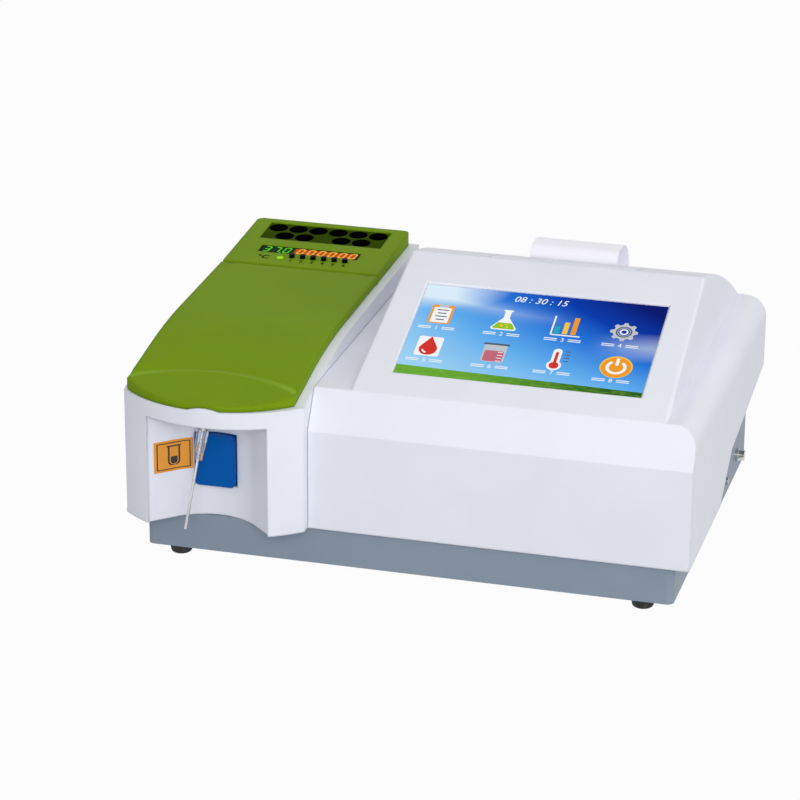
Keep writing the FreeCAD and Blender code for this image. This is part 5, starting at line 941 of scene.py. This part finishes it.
@dataclass(frozen=True)
class Facet:
    """A flat face of a solid, as a frame to lay things on.

    Attributes:
        centre: The middle of the face.
        along: The way up the face.
        out: The way out of it.
    """

    LEAST_RISE = 0.7
    MOST_LEAN = 0.05
    SAME_LEVEL = 0.05 * MM

    centre: Vector
    along: Vector
    out: Vector

    @classmethod
    def top_of(cls, node: str) -> "Facet":
        """Find the broad upper face of a node, tilted about X or level.

        Args:
            node: The node's name.

        Returns:
            The face.
        """
        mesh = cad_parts[node].data
        groups: dict[Point, list[bpy.types.MeshPolygon]] = {}
        for face in mesh.polygons:
            if face.normal.z > cls.LEAST_RISE and abs(face.normal.x) < cls.MOST_LEAN:
                groups.setdefault((round(face.normal.y, 2), round(face.normal.z, 2)), []).append(face)
        faces = max(groups.values(), key=lambda group: sum(face.area for face in group))
        out = sum((face.normal * face.area for face in faces), Vector())
        out = Vector((0, out.y, out.z)).normalized()
        along = Vector((0, out.z, -out.y))
        level = max(face.center.dot(out) for face in faces)
        spots = [mesh.vertices[index].co for face in faces for index in face.vertices
                 if abs(face.center.dot(out) - level) < cls.SAME_LEVEL]
        widths = [spot.x for spot in spots]
        lengths = [spot.dot(along) for spot in spots]
        middle = Vector(((min(widths) + max(widths)) / 2, 0, 0))
        return cls(middle + along * ((min(lengths) + max(lengths)) / 2) + out * level, along, out)

    @property
    def angle(self) -> float:
        """The tilt about X, in radians."""
        return math.atan2(self.along.z, self.along.y)

    def at(self, x: float, y: float) -> Point:
        """Return how far across and up the face the point over a given X and Y lies."""
        return (x - self.centre.x, (y - self.centre.y) / self.along.y)

    def lay(self, piece: Object, across: float, up: float, lift: float) -> None:
        """Lay a flat piece, made about the origin, on a point of the face, moved out of it by lift."""
        spot = self.centre + Vector((across, 0, 0)) + self.along * up + self.out * lift
        turn = Matrix.Rotation(self.angle, 4, "X")
        piece.matrix_world = Matrix.Translation(spot) @ turn @ piece.matrix_world
        settle(piece)


def dress(finish: Finish, *nodes: str) -> None:
    """Give carried-over solids a finish.

    Args:
        finish: The finish that all of them get.
        nodes: The names of the solids.
    """
    material = finish.build()
    for name in nodes:
        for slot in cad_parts[name].material_slots:
            slot.material = material


def mount(piece: Object, body: str, material: Material | None = None) -> None:
    """Let a finished piece ride on a body and take its finish from a slot of the record.

    Args:
        piece: The finished piece.
        body: The body that it moves with.
        slot: The record's material slot.
        material: Its material, if it hasn't got one yet.
    """
    if material is not None:
        piece.data.materials.clear()
        piece.data.materials.append(material)
    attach(piece, body)
    LOG.info("%s rides on %s", piece.name, body)


def arc(x: float, y: float, radius: float, start: float, end: float, steps: int) -> list[Point]:
    """Return an arc's points between two angles in degrees, both ends included."""
    turns = [math.radians(start + (end - start) * step / steps) for step in range(steps + 1)]
    return [(x + radius * math.cos(turn), y + radius * math.sin(turn)) for turn in turns]


def disc(x: float, y: float, radius: float, points: int = 36) -> list[Point]:
    """Return a circle's outline."""
    return arc(x, y, radius, 0, 360, points)[:-1]


def panel(x: float, y: float, wide: float, tall: float, corner: float = 0.0) -> list[Point]:
    """Return the outline of a rectangle about a centre, with rounded corners if asked."""
    spots = []
    for quarter, (side, rise) in enumerate(((1, 1), (-1, 1), (-1, -1), (1, -1))):
        pivot = (x + side * (wide / 2 - corner), y + rise * (tall / 2 - corner))
        start = 90 * quarter
        spots += arc(*pivot, corner, start, start + 90, CORNER_STEPS) if corner else [pivot]
    return spots


def sweep(x: float, y: float, outer: float, inner: float, start: float, end: float) -> list[Point]:
    """Return the outline of a stretch of a ring, between two angles in degrees."""
    return arc(x, y, outer, start, end, RING_STEPS) + arc(x, y, inner, end, start, RING_STEPS)


Layers = list[tuple[str, list[list[Point]]]]


@dataclass
class ScreenUnit:
    """The tilted touch screen with its picture and signs, whose places and sizes are in millimetres."""

    picture_half: Point = (78.6, 44.6)
    layer: float = 0.03 * MM
    sign_scale: float = 1.16
    sign_columns: tuple[float, ...] = (-62.3, -20.4, 18.8, 55.3)
    sign_rows: tuple[float, ...] = (15.8, -15.8)
    power_shift: Point = (2.0, -2.0)
    caption_follows: Point = (0.5, 0.9)
    caption_drop: float = 13.3
    caption_height: float = 5.0
    rule_long: float = 8.2
    rule_thick: float = 0.7
    rule_out: float = 7.6
    rule_rows: Point = (-0.7, 0.9)
    clock_height: float = 7.6
    clock_lean: float = 0.25
    clock_at: Point = (-2.7, 37.4)
    palette: dict[str, Colour] = field(default_factory=lambda: {
        "white": tint(250, 251, 252), "silver": tint(196, 202, 210), "slate": tint(88, 98, 112),
        "amber": tint(246, 158, 38), "gold": tint(250, 202, 72), "leaf": tint(150, 200, 40),
        "rose": tint(198, 108, 124), "red": tint(216, 52, 44), "teal": tint(40, 170, 190)})

    def build(self) -> None:
        """Dress the screen and draw its signs."""
        self.face = Facet.top_of("touch_glass")
        self.inks = {name: Glow(f"sign_{name}", colour).build() for name, colour in self.palette.items()}
        shown = (self.picture_half[0] * MM, self.picture_half[1] * MM)
        dress(ScreenPicture("screen_picture", self.face.centre, self.face.angle, shown), "touch_glass")
        dress(Metal("screen_back_steel", tint(190, 192, 196), 0.35, Axis.X), "lcd_module")
        dress(Plastic("screen_holder_black", tint(30, 31, 33), 0.5), "lcd_frame")
        for index, (name, layers) in enumerate(self._signs().items()):
            row, column = divmod(index, len(self.sign_columns))
            across, up = self.sign_columns[column], self.sign_rows[row]
            aside, above = self.power_shift if name == "power" else (0.0, 0.0)
            self._draw(f"sign_{name}", layers, across + aside, up + above)
            aside, above = aside * self.caption_follows[0], above * self.caption_follows[1]
            self._caption(index + 1, across + aside, up + above - self.caption_drop)
        clock = words("sign_clock", "08 : 30 : 15", self.clock_height * MM, self.layer,
                            shear=self.clock_lean)
        self._place(clock, *self.clock_at, self.inks["white"])

    def _place(self, piece: Object, across: float, up: float, ink: Material | None = None) -> None:
        """Lay a piece on the glass and let it ride on the frame."""
        self.face.lay(piece, across * MM, up * MM, self.layer)
        mount(piece, "frame", ink)

    def _caption(self, number: int, across: float, up: float) -> None:
        """Write a sign's number below it, with a short rule on either side."""
        figure = words("figure", str(number), self.caption_height * MM, self.layer)
        rules = [panel(side * self.rule_out * MM, row * MM, self.rule_long * MM, self.rule_thick * MM)
                 for side in (-1, 1) for row in self.rule_rows]
        caption = join(f"sign_number_{number}", [figure, flat("rules", rules, self.layer)])
        self._place(caption, across, up, self.inks["white"])

    def _draw(self, name: str, layers: Layers, across: float, up: float) -> None:
        """Draw one sign from its coloured layers, each a little above the last."""
        plates = []
        scale = self.sign_scale * MM
        for level, (ink, outlines) in enumerate(layers):
            scaled = [[(x * scale, y * scale) for x, y in outline] for outline in outlines]
            plate = flat(f"{name}_{level}", scaled, self.layer)
            plate.data.materials.append(self.inks[ink])
            plate.location.z = level * self.layer
            plates.append(settle(plate))
        self._place(join(name, plates), across, up)

    @staticmethod
    def _signs() -> dict[str, Layers]:
        """Return the eight signs, each a list of coloured layers in millimetres, lowest first."""
        count, half_tooth, teeth = 16, 0.32, []
        for index in range(count):
            ends = [360 / count * (index + side * half_tooth) for side in (-1, 1)]
            teeth += arc(0, 0, 6.0 if index % 2 else 7.6, *ends, 1)
        drop = [(0, 8.2)] + arc(0, -2.2, 5.0, 30, -210, 24)
        flask = [(-1.7, 8), (1.7, 8), (1.7, 2.2), (7.2, -6.4), (6.2, -8), (-6.2, -8), (-7.2, -6.4),
                 (-1.7, 2.2)]
        liquid = [(-3.9, -2), (3.9, -2), (6.2, -6.2), (5.6, -7.1), (-5.6, -7.1), (-6.2, -6.2)]
        lines = [panel(0.3, 3.6 - 2.7 * row, 6.4 - 1.6 * (row % 2), 0.8) for row in range(4)]
        beads = [disc(-1.4, -4.6, 0.9, 20), disc(1.9, -5.4, 0.7, 20), disc(0.9, -3.3, 0.5, 20)]
        return {
            "sheet": [("amber", [panel(0, 0, 12.4, 15.6, 1.2)]),
                      ("white", [panel(0, -0.6, 9.8, 12.6, 0.4)]),
                      ("silver", [panel(0, 7.0, 5.6, 2.6, 0.7)]), ("slate", lines)],
            "flask": [("white", [flask]), ("leaf", [liquid]), ("white", [panel(0, 8.2, 5.2, 1.3, 0.5)]),
                      ("gold", beads)],
            "chart": [("white", [panel(-7.4, 0, 0.9, 16), panel(0.4, -7.6, 16.4, 0.9)]),
                      ("teal", [panel(-4.6, -3.4, 2.8, 6.2)]), ("gold", [panel(0, -1.6, 2.8, 9.8)]),
                      ("amber", [panel(4.6, 0.6, 2.8, 14.2)])],
            "gear": [("silver", [teeth, disc(0, 0, 3.2)]), ("slate", [disc(0, 0, 4.5), disc(0, 0, 3.6)]),
                     ("white", [disc(0, 0, 2.4), disc(0, 0, 1.5)])],
            "drop": [("white", [panel(0, 0, 13.6, 16, 1.2)]), ("red", [drop]),
                     ("white", [sweep(0, -2.2, 3.6, 2.6, 195, 260)])],
            "beaker": [("silver", [panel(0, -0.4, 12.6, 14.4, 1.8)]),
                       ("rose", [panel(0, -2.8, 10.6, 8.8, 1.2)]),
                       ("slate", [panel(0, 7.0, 14.4, 1.5, 0.6)]),
                       ("white", [panel(3.4, 0.6 - 2.4 * row, 2.8, 0.5) for row in range(4)])],
            "gauge": [("white", [panel(0, 1.6, 4.8, 13.6, 2.3)]), ("white", [disc(0, -5.4, 4.0)]),
                      ("red", [panel(0, 0.2, 1.7, 11.0, 0.8)]), ("red", [disc(0, -5.4, 2.7)]),
                      ("slate", [panel(5.6, 6.4 - 2.6 * row, 3.0, 0.7) for row in range(4)])],
            "power": [("gold", [disc(0, 0, 8.8, 48)]), ("amber", [disc(0, -0.4, 8.1, 48)]),
                      ("white", [sweep(0, -0.3, 5.6, 3.9, -235, 55), panel(0, 4.2, 1.8, 6.0, 0.8)])],
        }


@dataclass
class IncubatorTop:
    """The green cover behind the lid: wells, digits, keys, lamp and their printed figures."""

    digit_tall: float = 9.2 * MM
    digit_wide: float = 4.7 * MM
    stroke: float = 1.05 * MM
    tip_share: float = 0.1
    shoulder_share: float = 0.6
    dot_share: float = 0.55
    slant: float = 0.12
    lift: float = 0.06 * MM
    print_thick: float = 0.04 * MM
    count_first: float = -129.9 * MM
    count_pitch: float = 7.25 * MM
    heat_first: float = -153.8 * MM
    heat_pitch: float = 7.0 * MM
    split: float = -134.6 * MM
    key_edge: float = 0.4 * MM
    number_tall: float = 4.8 * MM
    number_bold: float = 0.12 * MM
    number_aside: float = 0.7 * MM
    number_drop: float = 4.0 * MM
    mark_tall: float = 7.4 * MM
    mark_bold: float = 0.3 * MM
    mark_aside: float = 9.5 * MM
    mark_drop: float = 0.6 * MM
    # The lit bars of each figure, lettered a to g from the top round to the middle.
    figures: dict[str, str] = field(default_factory=lambda: {"3": "abcdg", "7": "abc", "0": "abcdef"})

    def build(self) -> None:
        """Dress the cover and add its figures."""
        keys = [f"timer_key_{index}" for index in range(1, 7)]
        window_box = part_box("display_window")
        dress(DigitWindow("digit_window", self.split, *window_box), "display_window")
        dress(Plastic("display_black", tint(22, 22, 24), 0.4), "digit_display")
        # The wells' walls get black painted shade, and the well block seen down the wells is near-black as
        # painted shade too.
        dress(Plastic("well_panel_dark", tint(58, 80, 6), 0.7, wear=0.1, mottle=0.2, gloss=0.1, bend=1.1,
                      pit=tint(3, 4, 2)), "well_panel")
        dress(Plastic("well_block_black", tint(3, 3, 3), 0.5, gloss=0.1, bend=1.1), "incubator_block")
        dress(Plastic("key_black", tint(8, 9, 6), 0.4, edge=self.key_edge, gloss=0.15, bend=1.2), *keys)
        dress(Glow("lamp_green", tint(158, 214, 20)), "indicator_led")
        self.face = Facet.top_of("display_window")
        self.cover = Facet.top_of("incubator_cover")
        green = Glow("digit_green", tint(88, 214, 10), 1.05).build()
        orange = Glow("digit_orange", tint(250, 190, 74)).build()
        for index, figure in enumerate("370"):
            spot = self.heat_first + index * self.heat_pitch
            self._digit(f"heat_digit_{index + 1}", figure, spot, green, dot=index == 1)
        for index in range(6):
            spot = self.count_first + index * self.count_pitch
            self._digit(f"count_digit_{index + 1}", "0", spot, orange)
        ink = Ink("print_dark", tint(22, 30, 4)).build()
        for index, key in enumerate(keys):
            low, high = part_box(key)
            number = words(f"key_number_{index + 1}", str(index + 1), self.number_tall, self.print_thick,
                                 offset=self.number_bold)
            self._print(number, (low.x + high.x) / 2 + self.number_aside, low.y - self.number_drop, ink)
        low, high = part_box("indicator_led")
        mark = words("heat_mark", "°C", self.mark_tall, self.print_thick, offset=self.mark_bold)
        self._print(mark, low.x - self.mark_aside, (low.y + high.y) / 2 - self.mark_drop, ink)

    def _print(self, piece: Object, x: float, y: float, ink: Material) -> None:
        """Lay a printed mark on the cover."""
        self.cover.lay(piece, *self.cover.at(x, y), self.print_thick / 2)
        mount(piece, "frame", ink)

    def _bar(self, letter: str) -> list[Point]:
        """Return the outline of one bar of a digit, as a long hexagon leaning with the digit."""
        wide, tall = self.digit_wide - self.stroke, self.digit_tall - self.stroke
        tip, shoulder = self.stroke * self.tip_share, self.stroke * self.shoulder_share
        side = self.stroke / 2
        level = letter in "agd"
        if level:
            start, end, at = -wide / 2, wide / 2, tall * {"a": 0.5, "g": 0.0, "d": -0.5}[letter]
        else:
            start, end = (0.0, tall / 2) if letter in "bf" else (-tall / 2, 0.0)
            at = wide / 2 if letter in "bc" else -wide / 2
        spots = [(start + tip, at), (start + shoulder, at + side), (end - shoulder, at + side),
                 (end - tip, at), (end - shoulder, at - side), (start + shoulder, at - side)]
        return [(x + self.slant * y, y) for x, y in (spot if level else spot[::-1] for spot in spots)]

    def _digit(self, name: str, figure: str, x: float, material: Material, dot: bool = False) -> None:
        """Lay one lit digit on the window."""
        outlines = [self._bar(letter) for letter in self.figures[figure]]
        if dot:
            across = self.digit_wide / 2 + self.stroke * self.shoulder_share
            down = (self.stroke - self.digit_tall) / 2
            outlines.append(disc(across, down, self.stroke * self.dot_share, 16))
        digit = flat(name, outlines, self.lift)
        self.face.lay(digit, x - self.face.centre.x, 0.0, self.lift / 2)
        mount(digit, "frame", material)


@dataclass
class Casings:
    """The white shells, the green shells and the tray."""

    casing_edge: float = 1.4 * MM
    lid_grain: float = 0.5 * MM
    lid_edge: float = 3.5 * MM
    lid_wall: float = 2.5 * MM
    crest_back: float = 43.3 * MM
    crest_bow: float = 18.0 * MM

    def build(self) -> None:
        """Dress the shells."""
        low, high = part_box("flip_lid")
        # The lid's crest as a round ridge, along which a pale highlight is painted.
        half = (high.x - low.x) / 2 + self.lid_wall
        radius = (half * half + self.crest_bow * self.crest_bow) / (2 * self.crest_bow)
        ridge = ((low.x + high.x) / 2, low.y + self.crest_back - radius, radius)
        dress(Plastic("casing_white", tint(234, 236, 245), 0.44, edge=self.casing_edge, wear=0.3),
              "upper_casing", "incubator_casing", "printer_cover")
        dress(Plastic("lid_green", tint(119, 153, 18), 0.5, grain=self.lid_grain, edge=self.lid_edge,
                      wear=0.5, mottle=0.05, gloss=0.05, crease=0.03, ridge=ridge),
              "flip_lid", "incubator_cover")
        dress(PowderCoat("tray_paint", tint(132, 146, 161)), "base_tray")
        dress(Rubber("foot_rubber", tint(12, 12, 14)), "rubber_feet")
        dress(Metal("zinc_steel", tint(176, 178, 182), 0.32), "foot_screws", "side_screw", "lid_hinge_pins")
        dress(Metal("terminal_nickel", tint(214, 212, 206), 0.16), "side_terminal")


@dataclass
class SipperRecess:
    """The concave recess at the front: button, label and sipper."""

    button_grain_depth: float = 0.004 * MM
    button_edge: float = 1.0 * MM

    def build(self) -> None:
        """Dress the recess."""
        low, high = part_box("amber_label")
        dress(TubeLabel("tube_label", (low.x, low.z), (high.x, high.z)), "amber_label")
        dress(Plastic("button_blue", tint(0, 88, 170), 0.3, depth=self.button_grain_depth,
                      edge=self.button_edge, wear=0.2, gloss=0.1), "aspirate_button")
        dress(Metal("collar_steel", tint(180, 178, 172), 0.25), "sipper_collar")
        dress(Clear("sleeve_clear", tint(236, 240, 244)), "sipper_sleeve")
        dress(Metal("needle_steel", tint(206, 206, 208), 0.2, Axis.Z), "sipper_tube")
        dress(Plastic("switch_black", tint(28, 28, 30), 0.45), "button_switch")


class Printer:
    """The printer under its door: roll, platen, plates and the strip that comes out."""

    def build(self) -> None:
        """Dress the printer."""
        dress(ThermalPaper("thermal_paper", tint(222, 221, 228)), "paper_roll", "paper_strip")
        dress(Rubber("platen_rubber", tint(34, 34, 36)), "platen_roller")
        dress(Plastic("printer_black", tint(36, 37, 40), 0.5), "printer_housing")


@dataclass
class Insides:
    """What lies inside the casings: supply, boards, optics and pump."""

    board_thick: float = 1.6 * MM
    key_board_pitch: float = 1.27 * MM

    def build(self) -> None:
        """Dress the inner parts."""
        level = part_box("main_board")[0].z + self.board_thick
        dress(CircuitBoard("main_board_green", level), "main_board")
        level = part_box("key_board")[0].z + self.board_thick
        dress(CircuitBoard("key_board_green", level, self.key_board_pitch), "key_board")
        dress(Metal("supply_zinc", tint(170, 173, 176), 0.38, Axis.Y), "power_supply")
        dress(Metal("bench_aluminium", tint(186, 188, 192), 0.34, Axis.X), "optical_bench", "cell_holder")
        dress(Metal("lamp_house_alloy", tint(160, 162, 166), 0.4, Axis.Z), "lamp_housing")
        dress(Metal("motor_steel", tint(92, 94, 98), 0.35), "wheel_motor", "photodetector")
        dress(Metal("wheel_anodised", tint(38, 38, 42), 0.42, Axis.X), "filter_wheel")
        dress(Plastic("deck_grey", tint(126, 132, 138), 0.55), "chamber_deck")
        dress(Plastic("pump_grey", tint(96, 100, 106), 0.5), "pump_body")
        dress(Plastic("rotor_white", tint(222, 222, 218), 0.4), "pump_rotor")
        dress(Rubber("hose_silicone", tint(214, 204, 186)), "pump_hose")
        dress(Clear("optics_glass", tint(238, 242, 246), 0.02, 1.5), "condenser_lens", "flow_cell")
        dress(Clear("filter_glass", tint(196, 140, 220), 0.04, 1.5), "colour_filters")
        dress(Clear("bulb_glass", tint(246, 242, 226), 0.03, 1.47), "halogen_lamp")


@dataclass
class RearPanel:
    """Fan, inlet, ports and fittings at the back, with their screws and contacts."""

    fitting_edge: float = 0.4 * MM
    screw_radius: float = 2.6 * MM
    screw_tall: float = 1.5 * MM
    round_share: float = 0.25
    cross_share: float = 1.25
    slot_share: float = 0.24
    slot_rise: float = 0.6
    fan_hole_inset: float = 4.2 * MM
    pin_radius: float = 0.5 * MM
    pin_long: float = 3.6 * MM
    pin_pitch: float = 2.77 * MM
    pin_row: float = 2.84 * MM
    pin_depth: float = 2.6 * MM
    jack_radius: float = 2.7 * MM
    jack_long: float = 4.0 * MM
    jack_shift: float = 12.5 * MM
    jack_depth: float = 3.0 * MM
    jack_edge: float = 0.25 * MM
    jack_bore: float = 1.3 * MM
    bore_long: float = 3.0 * MM
    bore_shift: float = 1.5 * MM
    mark_thick: float = 0.1 * MM
    mark_rise: float = 4.4 * MM
    mark_depth: float = 0.9 * MM
    bar_wide: float = 0.9 * MM
    bar_tall: float = 4.2 * MM
    ring_outer: float = 2.2 * MM
    ring_inner: float = 1.5 * MM

    def build(self) -> None:
        """Dress the rear fittings and add their screws, pins and marks."""
        dress(Plastic("fitting_black", tint(27, 27, 29), 0.45, edge=self.fitting_edge),
              "power_inlet", "rocker_switch", "fan_frame", "fan_rotor")
        dress(Metal("guard_chrome", tint(200, 202, 206), 0.22), "fan_guard")
        dress(Metal("port_nickel", tint(190, 190, 186), 0.28), "serial_port", "usb_port")
        dress(Metal("waste_brass", tint(196, 160, 92)), "waste_fitting")
        self.zinc = Metal("screw_zinc", tint(182, 184, 188)).build()
        self._fan_screws()
        self._port_parts()
        self._rocker_marks()

    def _screw(self, name: str, spot: Vector) -> Object:
        """Make a pan-head screw with a cross recess that points to the rear."""
        head = rod(name, spot, self.screw_radius, self.screw_tall)
        soften(head, self.screw_radius * self.round_share, 3)
        long, wide = self.screw_radius * self.cross_share, self.screw_radius * self.slot_share
        slots = []
        for turn in (0.0, math.pi / 2):
            slot = block(f"{name}_slot", Vector((long, self.screw_tall, wide)))
            slot.rotation_euler = (0, turn, 0)
            slot.location = spot + REARWARD * self.screw_tall * self.slot_rise
            slots.append(settle(slot))
        for slot in slots:
            carve(head, slot)
        bpy.ops.object.shade_smooth_by_angle(angle=SMOOTH_TURN)
        return head

    def _fan_screws(self) -> None:
        """Screw the fan guard to the wall."""
        low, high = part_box("fan_frame")
        middle = (low + high) / 2
        reach = (high.x - low.x) / 2 - self.fan_hole_inset
        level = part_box("fan_guard")[0].y + self.screw_tall / 2
        corners = [(side, rise) for side in (-1, 1) for rise in (-1, 1)]
        for index, (side, rise) in enumerate(corners, start=1):
            spot = Vector((middle.x + side * reach, level, middle.z + rise * reach))
            mount(self._screw(f"fan_screw_{index}", spot), "frame", self.zinc)

    def _port_parts(self) -> None:
        """Add the serial port's pins and jack screws."""
        low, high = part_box("serial_port")
        middle = (low + high) / 2
        pins = []
        for row, count in ((0.5, 5), (-0.5, 4)):
            for index in range(count):
                across = (index - (count - 1) / 2) * self.pin_pitch
                spot = Vector((middle.x + across, high.y - self.pin_depth, middle.z + row * self.pin_row))
                pin = rod("pin", spot, self.pin_radius, self.pin_long, 12)
                pins.append(soften(pin, self.pin_radius * 0.5))
        contacts = join("serial_pins", pins)
        mount(contacts, "frame", Metal("pin_gold", tint(212, 176, 96), 0.25).build())
        for index, side in enumerate((-1, 1), start=1):
            spot = Vector((middle.x + side * self.jack_shift, high.y - self.jack_depth, middle.z))
            jack = rod(f"jack_screw_{index}", spot, self.jack_radius, self.jack_long, 6)
            carve(jack, rod("hole", spot + REARWARD * self.bore_shift, self.jack_bore,
                                        self.bore_long, 24))
            soften(jack, self.jack_edge)
            mount(jack, "frame", self.zinc)

    def _rocker_marks(self) -> None:
        """Print the on and off marks on the rocker."""
        low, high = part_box("rocker_switch")
        ink = Ink("mark_white", tint(232, 232, 228)).build()
        middle = (low + high) / 2
        ring = [disc(0, 0, self.ring_outer), disc(0, 0, self.ring_inner)]
        upper = flat("rocker_mark_on", [panel(0, 0, self.bar_wide, self.bar_tall)], self.mark_thick)
        lower = flat("rocker_mark_off", ring, self.mark_thick)
        for piece, rise in ((upper, self.mark_rise), (lower, -self.mark_rise)):
            piece.rotation_euler = (math.radians(-90), 0, math.radians(180))
            piece.location = (middle.x, high.y - self.mark_depth, middle.z + rise)
            settle(piece)
            mount(piece, "rocker", ink)


def main() -> None:
    """Build the studio and every sub-assembly, then write the two boxes down."""
    logging.basicConfig(level=logging.INFO, format="%(name)s: %(message)s")
    clear()
    Studio().build()
    for kind in (Casings, ScreenUnit, IncubatorTop, SipperRecess, Printer, Insides, RearPanel):
        kind().build()
        LOG.info("%s is dressed", kind.__name__)


if __name__ == "__main__":
    main()
